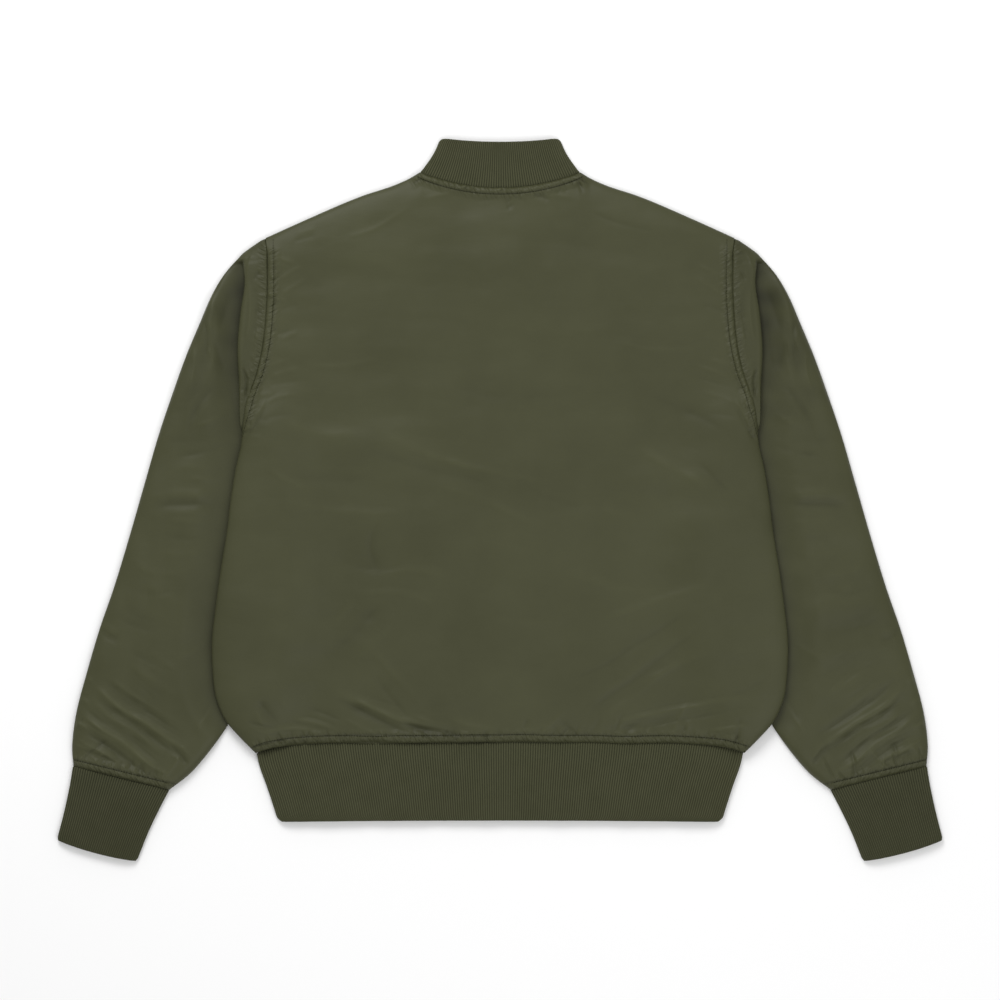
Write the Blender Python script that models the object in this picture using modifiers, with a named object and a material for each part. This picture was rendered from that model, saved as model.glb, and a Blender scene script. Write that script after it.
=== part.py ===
"""A bomber jacket lying flat on its front: shell panels, sleeves, knitted ribs and the front zip.

X runs across the jacket, Y from hem to collar and Z up. The origin is on the surface that the jacket
lies on, under the middle of its box. Sizes and tables are in millimetres. The tables give the wearer's
right half, at positive X, and the left half mirrors them. Left and right are the wearer's.
"""

import math

import bpy
import numpy as np

MM = 0.001

# Cloth walls, and the gap that sewn pieces keep.
SHELL_WALL = 2.5
RIB_WALL = 3.0
SEAM_GAP = 0.3
NECK_SEAM_GAP = 0.7

# Heights over both layers, in the middle of a piece and at its folded edges.
BODY_LOFT = 8.8
SLEEVE_LOFT = 8.4
RIB_LOFT = 7.8
SHELL_FOLD = 6.2
RIB_FOLD = 6.6
TUCKED_SLEEVE = 5.6
LIFT_OVER_SLEEVE = 6.3

# The widths over which those heights change.
FOLD_SLOPE = 40.0
LIFT_SLOPE = 58.0
LIFT_MARGIN = 26.0
FOLD_ANGLES = (45.0, 80.0, 90.0)
FOLD_SPLIT = 0.9
SLEEVE_FOLD_SLOPE = 30.0
TUCK_CLEARANCE = 3.0
TUCK_SLOPE = 35.0
UNDERARM_Y = 80.0
UNDERARM_SLOPE = 60.0
LIFT_TOP_Y = 130.0
LIFT_TOP_SLOPE = 50.0
NECK_CORNER_SLOPE = 12.0

# Landmarks of the body panels.
SHOULDER_POINT = (246.0, 275.0)
NECK_POINT = (84.0, 344.0)
NECK_BACK = 328.0
NECK_FRONT = 262.0
HEM_SEAM = -256.0
HEM_SEAM_DROP = 6.0
HEM_EDGE = -336.5
HEM_EDGE_DROP = 2.0
FRONT_EDGE = 9.0

# How many stretches each half of the neck seam is divided into.
BACK_NECK_STEPS = 4
FRONT_NECK_STEPS = 7

# Landmarks of the collar: its upper edge at the back, at the side folds and at the front.
COLLAR_BACK = 376.0
COLLAR_CORNER = (62.5, 379.4)
COLLAR_FRONT = (8.0, 311.0)
COLLAR_SIDE_HOLLOW = 2.5
COLLAR_SEAM_LOFT = 8.4
COLLAR_FOLD_SHARE = 0.4

# The zip, at the height that its slider needs under the neck.
ZIP_LIFT = 4.4
ZIP_LIFT_BACK_SHARE = 0.6
ZIP_FLAT_WIDTH = 16.0
ZIP_SLOPE = 34.0
ZIP_LIFT_FROM = 165.0
ZIP_LIFT_TO = 318.0
ZIP_LIFT_RAMP = 48.0
TAPE_INNER = 3.5
TAPE_WALL = 0.8
TAPE_HEIGHT = 0.8
CHAIN_HALF_WIDTH = 3.1
CHAIN_WALL = 2.0
CHAIN_HEIGHT = 0.2
CHAIN_TOP = 246.0
SLIDER_LOW = 240.0
SLIDER_LENGTH = 14.0
SLIDER_WIDTH = 9.2
SLIDER_PLATE = 1.2
SLIDER_CLEARANCE = 0.3
BRIDGE_HALF_WIDTH = 1.8
SLIDER_OVERLAP = 0.2
EYE_HALF_LENGTH = 1.0
EYE_HALF_HEIGHT = 0.75
BAIL_WIDTH = 1.8
BAIL_LENGTH = 7.0
BAIL_BOTTOM = 0.5
PIN_HEIGHT = 1.6
PIN_Y = 247.0
PIN_RADIUS = 0.45
TAB_WIDTH = 6.0
TAB_LENGTH = 24.0
TAB_WALL = 1.2
FORK_HALF_WIDTH = 1.2
FORK_DEPTH = 4.4
TAB_PAST_PIN = 0.85

# Outline of the body's side and armhole: height, half width, and 1 where the edge is folded.
BODY_SIDE = np.array([
    (-262.0, 261.0, 1.0),
    (-248.0, 273.0, 1.0),
    (-234.0, 285.0, 1.0),
    (-208.0, 297.5, 1.0),
    (-180.0, 301.5, 1.0),
    (-150.0, 302.5, 1.0),
    (-110.0, 298.5, 1.0),
    (-70.0, 293.0, 1.0),
    (-33.0, 287.0, 1.0),
    (0.0, 283.0, 1.0),
    (32.0, 278.0, 1.0),
    (63.0, 271.5, 1.0),
    (83.0, 270.0, 0.6),
    (106.0, 266.0, 0.1),
    (130.0, 257.0, 0.0),
    (159.0, 250.0, 0.0),
    (196.0, 246.0, 0.0),
    (235.0, 245.0, 0.0),
    (258.0, 245.5, 0.0),
])

# The shoulder's outline: distance from the middle, height.
SHOULDER = np.array([
    (84.0, 344.0),
    (94.0, 338.0),
    (107.0, 332.0),
    (145.0, 319.0),
    (204.0, 294.0),
    (246.0, 275.0),
])

# Sleeve sections from armhole to cuff: the outer fold's x and y, the inner fold's x and y, and how far
# the section bows towards the cuff.
SLEEVE_RINGS = np.array([
    (248.0, 274.3, 271.0, 72.0, 0.0),
    (266.5, 261.5, 270.5, 63.0, 0.0),
    (274.0, 254.5, 269.0, 53.0, 0.0),
    (290.0, 236.0, 262.0, 30.0, 21.0),
    (303.0, 214.0, 254.0, 4.0, 20.0),
    (315.0, 186.0, 249.0, -25.0, 18.0),
    (330.0, 150.0, 246.0, -55.0, 14.0),
    (345.0, 108.0, 245.0, -85.0, 8.0),
    (359.0, 66.0, 246.0, -112.0, 4.0),
    (374.0, 14.0, 250.0, -138.0, 2.0),
    (389.5, -40.0, 257.0, -164.0, 0.0),
    (405.0, -91.0, 265.0, -190.0, 0.0),
    (420.5, -136.0, 274.0, -214.0, 0.0),
    (434.0, -182.0, 285.5, -236.0, 0.0),
    (444.5, -222.0, 302.0, -260.0, 0.0),
    (449.0, -256.0, 324.0, -286.0, 0.0),
    (447.7, -279.5, 347.0, -304.2, 0.0),
])

# The pleat's folded edge beside the armhole: height, distance from the middle.
PLEAT_EDGE = np.array([
    (59.0, 272.5),
    (83.0, 273.0),
    (124.0, 274.0),
    (160.0, 275.5),
    (196.0, 272.5),
    (230.0, 268.0),
    (247.0, 269.0),
    (261.5, 266.5),
])
PLEAT_STEP = 5.0
PLEAT_LEAST_STEP = 1.5
PLEAT_VALLEY = 6.2
PLEAT_SPAN = (92.0, 255.0)
PLEAT_TOP_SLOPE = 12.0
PLEAT_END_SLOPE = 20.0

# Cuff sections from seam to edge, with the same columns.
CUFF_RINGS = np.array([
    (448.3, -280.3, 347.6, -305.0, 0.0),
    (451.5, -300.0, 357.0, -323.0, 0.8),
    (457.5, -328.0, 369.0, -348.0, 1.7),
    (465.0, -357.0, 381.5, -379.4, 2.5),
])

# The waistband's sides: share of its height from seam to edge, half width.
HEM_SIDE = np.array([
    (0.0, 253.8),
    (0.15, 253.0),
    (0.5, 244.0),
    (1.0, 232.0),
])

OLIVE = (0.075, 0.077, 0.043, 1.0)
OLIVE_RIB = (0.055, 0.057, 0.033, 1.0)
ZIP_METAL = (0.16, 0.16, 0.15, 1.0)


def through(table, at, column=1):
    """The smooth curve through a table's points: its given column at positions along its first."""
    xs = table[:, 0]
    ys = table[:, column]
    slopes = np.gradient(ys, xs)
    at = np.clip(at, xs[0], xs[-1])
    i = np.clip(np.searchsorted(xs, at) - 1, 0, len(xs) - 2)
    step = xs[i + 1] - xs[i]
    t = (at - xs[i]) / step
    start = (1 + 2 * t) * (1 - t) ** 2 * ys[i] + t * (1 - t) ** 2 * step * slopes[i]
    end = t * t * (3 - 2 * t) * ys[i + 1] + t * t * (t - 1) * step * slopes[i + 1]
    return start + end


def ease(value):
    """0 below 0, 1 above 1, and a smooth step between them."""
    t = np.clip(value, 0.0, 1.0)
    return t * t * (3 - 2 * t)


def mix(low, high, share):
    return low + (high - low) * share


def material(name, colour, roughness, metallic=0.0):
    made = bpy.data.materials.new(name)
    made.use_nodes = True
    shader = made.node_tree.nodes["Principled BSDF"]
    shader.inputs["Base Color"].default_value = colour
    shader.inputs["Roughness"].default_value = roughness
    shader.inputs["Metallic"].default_value = metallic
    made.diffuse_color = colour
    return made


def sheet(name, points, wall, made_of, ring=False):
    """A wall of cloth through rows of points on its outer face. Its normals follow rows by columns."""
    rows, columns = points.shape[:2]
    across = columns if ring else columns - 1
    faces = []
    for row in range(rows - 1):
        for column in range(across):
            after = (column + 1) % columns
            faces.append((
                row * columns + column,
                row * columns + after,
                (row + 1) * columns + after,
                (row + 1) * columns + column,
            ))
    mesh = bpy.data.meshes.new(name)
    mesh.from_pydata((points.reshape(-1, 3) * MM).tolist(), [], faces)
    mesh.materials.append(made_of)
    mesh.shade_smooth()
    piece = bpy.data.objects.new(name, mesh)
    jacket.objects.link(piece)
    solid = piece.modifiers.new("Wall", "SOLIDIFY")
    solid.thickness = wall * MM
    solid.offset = -1.0
    solid.use_even_offset = not ring
    return piece


def mirrored(points):
    """The same sheet on the other side, with its columns turned round so that it still faces out."""
    return points[:, ::-1] * np.array((-1.0, 1.0, 1.0))


def hem_seam(x):
    return HEM_SEAM - HEM_SEAM_DROP * (x / BODY_SIDE[0, 1]) ** 4


def hem_edge(x):
    return HEM_EDGE - HEM_EDGE_DROP * (x / HEM_SIDE[-1, 1]) ** 2


def zip_lift(x, y):
    """How far the front rises round the slider."""
    across = ease((ZIP_FLAT_WIDTH + ZIP_SLOPE - np.abs(x)) / ZIP_SLOPE)
    along = ease((y - ZIP_LIFT_FROM) / ZIP_LIFT_RAMP) * ease((ZIP_LIFT_TO - y) / ZIP_LIFT_RAMP)
    return ZIP_LIFT * across * along


def sleeve_lift(x, y):
    """How far the front rises over the sleeve that is tucked under it."""
    inner_fold = SLEEVE_RINGS[::-1, [3, 2]]
    reach = np.abs(x) - through(inner_fold, y) + LIFT_MARGIN
    return LIFT_OVER_SLEEVE * ease(1 + reach / LIFT_SLOPE) * ease((LIFT_TOP_Y - y) / LIFT_TOP_SLOPE)


def neck(share, front, inset=0.0):
    """The neck seam from the middle, at 0, to the fold at the shoulder, at 1, moved in by the inset."""
    if front:
        angle = share * math.pi / 2
        x = FRONT_EDGE + (NECK_POINT[0] - inset - FRONT_EDGE) * np.sin(angle)
        y = NECK_POINT[1] - (NECK_POINT[1] - inset - NECK_FRONT) * np.cos(angle)
    else:
        x = (NECK_POINT[0] - inset) * share
        y = NECK_BACK + inset + (NECK_POINT[1] - NECK_BACK) * share ** 2
    return x, y


def half_panel(front, neck_steps, shoulder_steps):
    """Rows from hem to shoulder and columns from the middle out, for one half of the back or a front."""
    radius = SHELL_FOLD / 2
    turn = np.radians((0.0,) + FOLD_ANGLES)
    folded_in = radius * (1 - np.sin(turn))
    folded_down = (radius - FOLD_SPLIT) * (1 - np.cos(turn))
    side_y = np.concatenate([BODY_SIDE[:, 0], SHOULDER_POINT[1] - folded_in])
    top_drop = np.concatenate([np.zeros(len(BODY_SIDE)), folded_down])
    half_width = np.append(through(BODY_SIDE, BODY_SIDE[:, 0]), [SHOULDER_POINT[0]] * len(turn))
    side_fold = np.append(BODY_SIDE[:, 2], [0.0] * len(turn))

    start = FRONT_EDGE if front else 0.0
    neck_share = (NECK_POINT[0] - start) / (SHOULDER_POINT[0] - radius - start)
    neck_columns = np.linspace(0, 1, neck_steps + 1)
    out = np.concatenate([neck_columns * neck_share, np.linspace(neck_share, 1, shoulder_steps + 1)[1:]])
    top_x, top_y = neck(neck_columns, front)
    shoulder_x = start + out[neck_steps + 1:] * (SHOULDER_POINT[0] - radius - start)
    shoulder_x = np.concatenate([shoulder_x, SHOULDER_POINT[0] - folded_in[1:]])
    top_x = np.concatenate([top_x, shoulder_x])
    top_y = np.concatenate([top_y, through(SHOULDER, shoulder_x)])
    top_fold = ease((top_x - NECK_POINT[0]) / NECK_CORNER_SLOPE)

    inside = start + out[None, :] * (half_width[:, None] - radius - start)
    edge = half_width[:, None] - folded_in[None, 1:]
    x = np.concatenate([inside, edge], axis=1)
    rise = (side_y - side_y[0]) / (side_y[-1] - side_y[0])
    bottom_y = hem_seam(x[0])
    y = bottom_y[None, :] + rise[:, None] * (top_y - bottom_y)[None, :]
    x = x + (top_x - x[-1])[None, :] * rise[:, None] ** 4
    side_drop = np.concatenate([np.zeros(len(out)), folded_down[1:]])
    drop = np.maximum(side_fold[:, None] * side_drop[None, :], top_fold[None, :] * top_drop[:, None])

    lift = sleeve_lift(x, y)
    to_side = 1 - ease((half_width[:, None] - radius - x) / FOLD_SLOPE)
    to_top = 1 - ease((top_y[None, :] - radius - y) / FOLD_SLOPE)
    flatter = np.maximum(side_fold[:, None] * to_side, top_fold[None, :] * to_top)
    flatter = np.maximum(flatter, lift / LIFT_OVER_SLEEVE)
    loft = mix(BODY_LOFT, SHELL_FOLD, flatter)
    if front:
        z = lift + zip_lift(x, y) + drop
    else:
        z = lift + loft + ZIP_LIFT_BACK_SHARE * zip_lift(x, y) - drop
    return np.stack([x, y, z], axis=2)


def make_body(cloth):
    half = half_panel(False, BACK_NECK_STEPS, 6)
    left = half[:, :0:-1] * np.array((-1.0, 1.0, 1.0))
    sheet("back", np.concatenate([left, half], axis=1), SHELL_WALL, cloth)
    front = half_panel(True, FRONT_NECK_STEPS, 5)
    sheet("front_right", front[:, ::-1], SHELL_WALL, cloth)
    sheet("front_left", mirrored(front[:, ::-1]), SHELL_WALL, cloth)


def flattened_ring(section, shares, top_heights, outer_loft, inner_loft):
    """A flattened tube's section: over the top from its outer fold to its inner one, and back beneath."""
    outer = section[0:2]
    inner = section[2:4]
    length = np.linalg.norm(inner - outer)
    along = (inner - outer) / length
    towards_cuff = np.array((-along[1], along[0]))
    turn = np.radians((-45.0, 0.0, 45.0))
    outer_radius = outer_loft / 2
    inner_radius = inner_loft / 2
    lead = outer_radius * (1 - np.cos(turn))
    trail = length - inner_radius * (1 - np.cos(turn))
    distance = np.concatenate([lead, shares * length, trail, shares[::-1] * length])
    height = np.concatenate([
        outer_radius * (1 + np.sin(turn)),
        top_heights,
        inner_radius * (1 - np.sin(turn)),
        np.zeros(len(shares)),
    ])
    bow = section[4] * 4 * distance / length * (1 - distance / length)
    flat = outer + along * distance[:, None] + towards_cuff * bow[:, None]
    return np.column_stack([flat, height])


def sleeve_heights(number, x, y, from_outer, from_inner):
    """The upper face of the sleeve: low under the body, with the pleat's step beside the armhole."""
    clear = x - through(BODY_SIDE, y) - TUCK_CLEARANCE
    free = np.maximum(ease(clear / TUCK_SLOPE), ease((y - UNDERARM_Y) / UNDERARM_SLOPE))
    near_armhole = SHELL_FOLD + (BODY_LOFT - SHELL_FOLD) * ease((SHOULDER_POINT[1] - y) / FOLD_SLOPE)
    crown = mix(SHELL_FOLD, SLEEVE_LOFT, ease(from_outer / SLEEVE_FOLD_SLOPE))
    crown = np.minimum(crown, mix(TUCKED_SLEEVE, SLEEVE_LOFT, ease(from_inner / SLEEVE_FOLD_SLOPE)))
    if number < 2:
        crown = near_armhole
    in_pleat = ease((PLEAT_SPAN[1] - y) / PLEAT_TOP_SLOPE) * ease((y - PLEAT_SPAN[0]) / PLEAT_END_SLOPE)
    if number in (2, 3):
        crown = mix(crown, PLEAT_VALLEY, in_pleat * (1.0 if number == 2 else 0.5))
    return mix(TUCKED_SLEEVE, crown, free)


def sleeve_points():
    armhole_y = BODY_SIDE[BODY_SIDE[:, 0] > UNDERARM_Y, 0][::-1]
    first = SLEEVE_RINGS[0]
    inner_shares = (first[1] - armhole_y) / (first[1] - first[3])
    shares = np.concatenate([[0.03], inner_shares, [0.98]])
    rings = []
    for number, section in enumerate(SLEEVE_RINGS):
        length = np.linalg.norm(section[2:4] - section[0:2])
        flat = flattened_ring(section, shares, np.zeros(len(shares)), SHELL_FOLD, TUCKED_SLEEVE)
        top = flat[3:3 + len(shares)]
        heights = sleeve_heights(number, top[:, 0], top[:, 1], shares * length, (1 - shares) * length)
        ring = flattened_ring(section, shares, heights, SHELL_FOLD, TUCKED_SLEEVE)
        y = ring[:, 1]
        if number == 0:
            on_seam = (y < BODY_SIDE[-1, 0] + SEAM_GAP) & (y > UNDERARM_Y)
            ring[:, 0] = np.where(on_seam, through(BODY_SIDE, y) + SEAM_GAP, ring[:, 0])
        elif number < 3:
            step = PLEAT_LEAST_STEP + PLEAT_STEP * ease((y - PLEAT_EDGE[0, 0]) / LIFT_TOP_SLOPE)
            pleat_x = through(PLEAT_EDGE, y) + step * (number - 1)
            ring[:, 0] = mix(ring[:, 0], pleat_x, ease((y - section[3] - 1.0) / PLEAT_TOP_SLOPE * 1.3))
        rings.append(ring)
    return np.array(rings)


def make_sleeves(cloth):
    points = sleeve_points()
    sheet("sleeve_right", points, SHELL_WALL, cloth, ring=True)
    sheet("sleeve_left", mirrored(points), SHELL_WALL, cloth, ring=True)


def make_cuffs(knit):
    shares = np.array((0.05, 0.27, 0.5, 0.73, 0.95))
    crown = RIB_FOLD + (RIB_LOFT - RIB_FOLD) * np.sin(math.pi * shares)
    points = np.array([flattened_ring(section, shares, crown, RIB_FOLD, RIB_FOLD) for section in CUFF_RINGS])
    sheet("cuff_right", points, RIB_WALL, knit, ring=True)
    sheet("cuff_left", mirrored(points), RIB_WALL, knit, ring=True)


def make_hem(knit):
    """The waistband, from one front edge round the back to the other."""
    radius = RIB_FOLD / 2
    turn = np.radians((0.0, 45.0, 90.0, 135.0, 180.0))
    rows = []
    for share, half_width in HEM_SIDE:
        flat = half_width - radius
        under_x = np.linspace(FRONT_EDGE + SEAM_GAP, flat, 6)[:-1]
        over_x = np.linspace(flat, -flat, 12)[1:-1]
        fold_x = flat + radius * np.sin(turn)
        fold_z = radius * (1 - np.cos(turn))
        x = np.concatenate([under_x, fold_x, over_x, -fold_x[::-1], -under_x[::-1]])
        over_z = mix(RIB_FOLD, RIB_LOFT, ease((flat - np.abs(over_x)) / FOLD_SLOPE))
        none = np.zeros(len(under_x))
        z = np.concatenate([none, fold_z, over_z, fold_z[::-1], none])
        y = mix(hem_seam(x) - SEAM_GAP, hem_edge(x), share)
        rows.append(np.column_stack([x, y, z]))
    sheet("hem_rib", np.array(rows), RIB_WALL, knit)


def collar_line(share):
    """A line round the collar's half at a share of its height: under it to the side fold, then over."""
    radius = RIB_FOLD / 2
    front = np.linspace(0, 1, FRONT_NECK_STEPS + 1)
    seam_x, seam_y = neck(front, True, NECK_SEAM_GAP)
    edge_x = COLLAR_FRONT[0] + (COLLAR_CORNER[0] - COLLAR_FRONT[0]) * np.sin(front * math.pi / 2)
    edge_y = COLLAR_CORNER[1] - (COLLAR_CORNER[1] - COLLAR_FRONT[1]) * np.cos(front * math.pi / 2)
    under = np.column_stack([mix(seam_x, edge_x, share), mix(seam_y, edge_y, share)])
    back = np.linspace(1, 0, BACK_NECK_STEPS + 1)
    seam_x, seam_y = neck(back, False, NECK_SEAM_GAP)
    edge_x = COLLAR_CORNER[0] * back
    edge_y = COLLAR_BACK + (COLLAR_CORNER[1] - COLLAR_BACK) * back ** 2
    over = np.column_stack([mix(seam_x, edge_x, share), mix(seam_y, edge_y, share)])

    hollow = COLLAR_SIDE_HOLLOW * 4 * share * (1 - share)
    fold_out = np.array((NECK_POINT[1] - COLLAR_CORNER[1], COLLAR_CORNER[0] - NECK_POINT[0]))
    fold_out = -fold_out / np.linalg.norm(fold_out)
    corner = under[-1] - fold_out * (radius + hollow)
    under = under - fold_out * (radius + hollow) * front[:, None] ** 3
    over = over - fold_out * (radius + hollow) * back[:, None] ** 3
    turn = np.radians((45.0, 90.0, 135.0))
    fold = corner[None, :] + fold_out[None, :] * radius * np.sin(turn)[:, None]
    under_z = zip_lift(under[:, 0], under[:, 1])
    over_z = mix(RIB_FOLD, mix(COLLAR_SEAM_LOFT, RIB_LOFT, share), ease((1 - back) / COLLAR_FOLD_SHARE))
    z = np.concatenate([under_z, radius * (1 - np.cos(turn)), over_z])
    return np.column_stack([np.concatenate([under, fold, over]), z])


def make_collar(knit):
    rows = []
    for share in (0.0, 0.33, 0.67, 1.0):
        half = collar_line(share)
        other = half[-2::-1] * np.array((-1.0, 1.0, 1.0))
        rows.append(np.concatenate([half, other]))
    sheet("collar_rib", np.array(rows)[::-1], RIB_WALL, knit)


def strip(name, x_values, y_values, height, wall, made_of):
    """A flat band along the front opening that rises with it, facing down."""
    x, y = np.meshgrid(x_values, y_values)
    z = zip_lift(x, y) + height
    points = np.stack([x, y, z], axis=2)
    return sheet(name, points[:, ::-1], wall, made_of)


def box(name, low, high, made_of, group):
    """A box between two corners, in millimetres."""
    bpy.ops.mesh.primitive_cube_add(size=1.0)
    piece = bpy.context.active_object
    piece.name = name
    low = np.array(low)
    high = np.array(high)
    centre = (low + high) / 2 * MM
    for vertex in piece.data.vertices:
        place = np.array(vertex.co) * (high - low) * MM + centre
        vertex.co = place.tolist()
    piece.data.materials.append(made_of)
    for owner in list(piece.users_collection):
        owner.objects.unlink(piece)
    group.objects.link(piece)
    return piece


def join(piece, tool, operation):
    """Adds a helper to a piece, or cuts it away. The helper stays out of the model."""
    tool.hide_render = True
    tool.display_type = "WIRE"
    step = piece.modifiers.new(operation.title(), "BOOLEAN")
    step.operation = operation
    step.object = tool


def make_zip(tape_cloth, metal):
    rise_y = np.linspace(ZIP_LIFT_FROM, ZIP_LIFT_FROM + ZIP_LIFT_RAMP, 5)
    tape_y = np.concatenate([[HEM_EDGE + 1.0, -100.0], rise_y, [NECK_FRONT - 0.5]])
    tape_x = np.array((TAPE_INNER, FRONT_EDGE - SEAM_GAP))
    strip("zip_tape_right", tape_x, tape_y, TAPE_HEIGHT, TAPE_WALL, tape_cloth)
    strip("zip_tape_left", -tape_x[::-1], tape_y, TAPE_HEIGHT, TAPE_WALL, tape_cloth)
    chain_y = np.concatenate([[HEM_EDGE + 4.0, -100.0], rise_y, [CHAIN_TOP]])
    chain_x = np.linspace(-CHAIN_HALF_WIDTH, CHAIN_HALF_WIDTH, 3)
    strip("zip_chain", chain_x, chain_y, CHAIN_HEIGHT, CHAIN_WALL, metal)
    make_slider(metal)
    make_pull(metal)


def make_slider(metal):
    """Two plates either side of the chain, joined past its end, with a bail for the pull."""
    half = SLIDER_WIDTH / 2
    high = SLIDER_LOW + SLIDER_LENGTH
    under_chain = ZIP_LIFT + CHAIN_HEIGHT - SLIDER_CLEARANCE
    over_chain = ZIP_LIFT + CHAIN_HEIGHT + CHAIN_WALL + SLIDER_CLEARANCE
    lower = box("zip_slider", (-half, SLIDER_LOW, under_chain - SLIDER_PLATE),
                (half, high, under_chain), metal, jacket)
    upper = box("slider_upper_plate", (-half, SLIDER_LOW, over_chain),
                (half, high, over_chain + SLIDER_PLATE), metal, helpers)
    bridge = box("slider_bridge",
                 (-BRIDGE_HALF_WIDTH, CHAIN_TOP + SLIDER_CLEARANCE, under_chain - SLIDER_OVERLAP),
                 (BRIDGE_HALF_WIDTH, high - SLIDER_PLATE, over_chain + SLIDER_OVERLAP), metal, helpers)
    bail = box("slider_bail", (-BAIL_WIDTH / 2, PIN_Y - BAIL_LENGTH / 2, BAIL_BOTTOM),
               (BAIL_WIDTH / 2, PIN_Y + BAIL_LENGTH / 2, under_chain - SLIDER_PLATE + SLIDER_OVERLAP),
               metal, helpers)
    eye = box("slider_eye", (-BAIL_WIDTH, PIN_Y - EYE_HALF_LENGTH, PIN_HEIGHT - EYE_HALF_HEIGHT),
              (BAIL_WIDTH, PIN_Y + EYE_HALF_LENGTH, PIN_HEIGHT + EYE_HALF_HEIGHT), metal, helpers)
    join(lower, bridge, "UNION")
    join(lower, upper, "UNION")
    join(lower, bail, "UNION")
    join(lower, eye, "DIFFERENCE")


def make_pull(metal):
    """The tab: a forked plate whose pin passes through the bail. Its origin is on the pin's axis."""
    half = TAB_WIDTH / 2
    low_z = PIN_HEIGHT - TAB_WALL / 2
    high_z = PIN_HEIGHT + TAB_WALL / 2
    plate = box("zip_pull", (-half, PIN_Y - TAB_LENGTH, low_z), (half, PIN_Y + TAB_PAST_PIN, high_z),
                metal, jacket)
    fork = box("pull_fork", (-FORK_HALF_WIDTH, PIN_Y - FORK_DEPTH, low_z - TAB_WALL),
               (FORK_HALF_WIDTH, PIN_Y + TAB_WALL, high_z + TAB_WALL), metal, helpers)
    pin_end = half - PIN_RADIUS
    pin = box("pull_pin", (-pin_end, PIN_Y - PIN_RADIUS, PIN_HEIGHT - PIN_RADIUS),
              (pin_end, PIN_Y + PIN_RADIUS, PIN_HEIGHT + PIN_RADIUS), metal, helpers)
    join(plate, fork, "DIFFERENCE")
    join(plate, pin, "UNION")
    on_axis = np.array((0.0, PIN_Y, PIN_HEIGHT)) * MM
    for vertex in plate.data.vertices:
        vertex.co = (np.array(vertex.co) - on_axis).tolist()
    plate.location = on_axis.tolist()


for old in list(bpy.data.objects):
    bpy.data.objects.remove(old, do_unlink=True)
jacket = bpy.data.collections.new("bomber_jacket")
helpers = bpy.data.collections.new("cutters")
bpy.context.scene.collection.children.link(jacket)
bpy.context.scene.collection.children.link(helpers)

shell_cloth = material("olive_shell", OLIVE, 0.55)
rib_knit = material("olive_rib", OLIVE_RIB, 0.9)
zip_tape = material("zip_tape", OLIVE_RIB, 0.8)
zip_metal = material("zip_metal", ZIP_METAL, 0.35, 1.0)

make_body(shell_cloth)
make_sleeves(shell_cloth)
make_cuffs(rib_knit)
make_hem(rib_knit)
make_collar(rib_knit)
make_zip(zip_tape, zip_metal)
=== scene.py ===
"""The looks of the bomber jacket that lies flat on its front: nylon shell, knitted ribs, stitching and zip.

It repeats the part's named sizes and tables, in millimetres, and makes each cloth piece on its solid's
form at a finer step. A few are set a little otherwise for the looks: the body's side at its hem end, the
waistband's sides and the pleat's span. X runs across the jacket, Y from hem to collar and Z up. The
tables give the wearer's right half, at positive X, and the left half mirrors them.
"""

import math

import bpy
import numpy as np
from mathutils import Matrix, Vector
from mathutils.bvhtree import BVHTree

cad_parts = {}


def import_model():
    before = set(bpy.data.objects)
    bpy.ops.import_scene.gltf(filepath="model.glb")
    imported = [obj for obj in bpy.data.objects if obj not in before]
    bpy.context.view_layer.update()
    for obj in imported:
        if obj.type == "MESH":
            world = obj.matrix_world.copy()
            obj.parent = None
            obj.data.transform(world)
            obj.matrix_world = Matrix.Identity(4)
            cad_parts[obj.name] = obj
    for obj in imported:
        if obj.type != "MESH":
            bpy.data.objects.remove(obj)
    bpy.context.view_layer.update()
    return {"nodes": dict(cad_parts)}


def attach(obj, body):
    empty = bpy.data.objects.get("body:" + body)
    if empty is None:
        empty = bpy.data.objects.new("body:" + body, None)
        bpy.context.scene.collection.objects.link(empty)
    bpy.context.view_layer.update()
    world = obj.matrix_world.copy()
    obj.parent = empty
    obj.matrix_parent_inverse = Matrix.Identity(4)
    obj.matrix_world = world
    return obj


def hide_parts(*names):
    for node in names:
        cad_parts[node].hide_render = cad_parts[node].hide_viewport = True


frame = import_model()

MM = 0.001

# ---- Sizes of the part ----

SEAM_GAP = 0.3
NECK_SEAM_GAP = 0.7
RIB_LOFT = 7.8
RIB_FOLD = 6.6
TUCKED_SLEEVE = 5.6
LIFT_OVER_SLEEVE = 6.3
LIFT_SLOPE = 58.0
LIFT_MARGIN = 26.0
TUCK_CLEARANCE = 3.0
UNDERARM_Y = 80.0
LIFT_TOP_Y = 130.0
LIFT_TOP_SLOPE = 50.0
NECK_CORNER_SLOPE = 12.0
SHOULDER_POINT = (246.0, 275.0)
NECK_POINT = (84.0, 344.0)
NECK_BACK = 328.0
NECK_FRONT = 262.0
HEM_SEAM = -255.0
HEM_SEAM_DROP = 11.0
HEM_EDGE = -336.5
HEM_EDGE_DROP = 2.0
FRONT_EDGE = 9.0
COLLAR_BACK = 376.0
COLLAR_CORNER = (62.5, 379.4)
COLLAR_FRONT = (8.0, 311.0)
COLLAR_SIDE_HOLLOW = 2.5
COLLAR_SEAM_LOFT = 8.4
COLLAR_FOLD_SHARE = 0.4
COLLAR_CORNER_ROUND = 2.6
ZIP_LIFT = 4.4
ZIP_LIFT_BACK_SHARE = 0.6
ZIP_FLAT_WIDTH = 16.0
ZIP_SLOPE = 34.0
ZIP_LIFT_FROM = 165.0
ZIP_LIFT_TO = 318.0
ZIP_LIFT_RAMP = 48.0
TAPE_INNER = 3.5
TAPE_WALL = 0.8
TAPE_HEIGHT = 0.8
CHAIN_HALF_WIDTH = 3.1
CHAIN_WALL = 2.0
CHAIN_HEIGHT = 0.2
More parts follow.
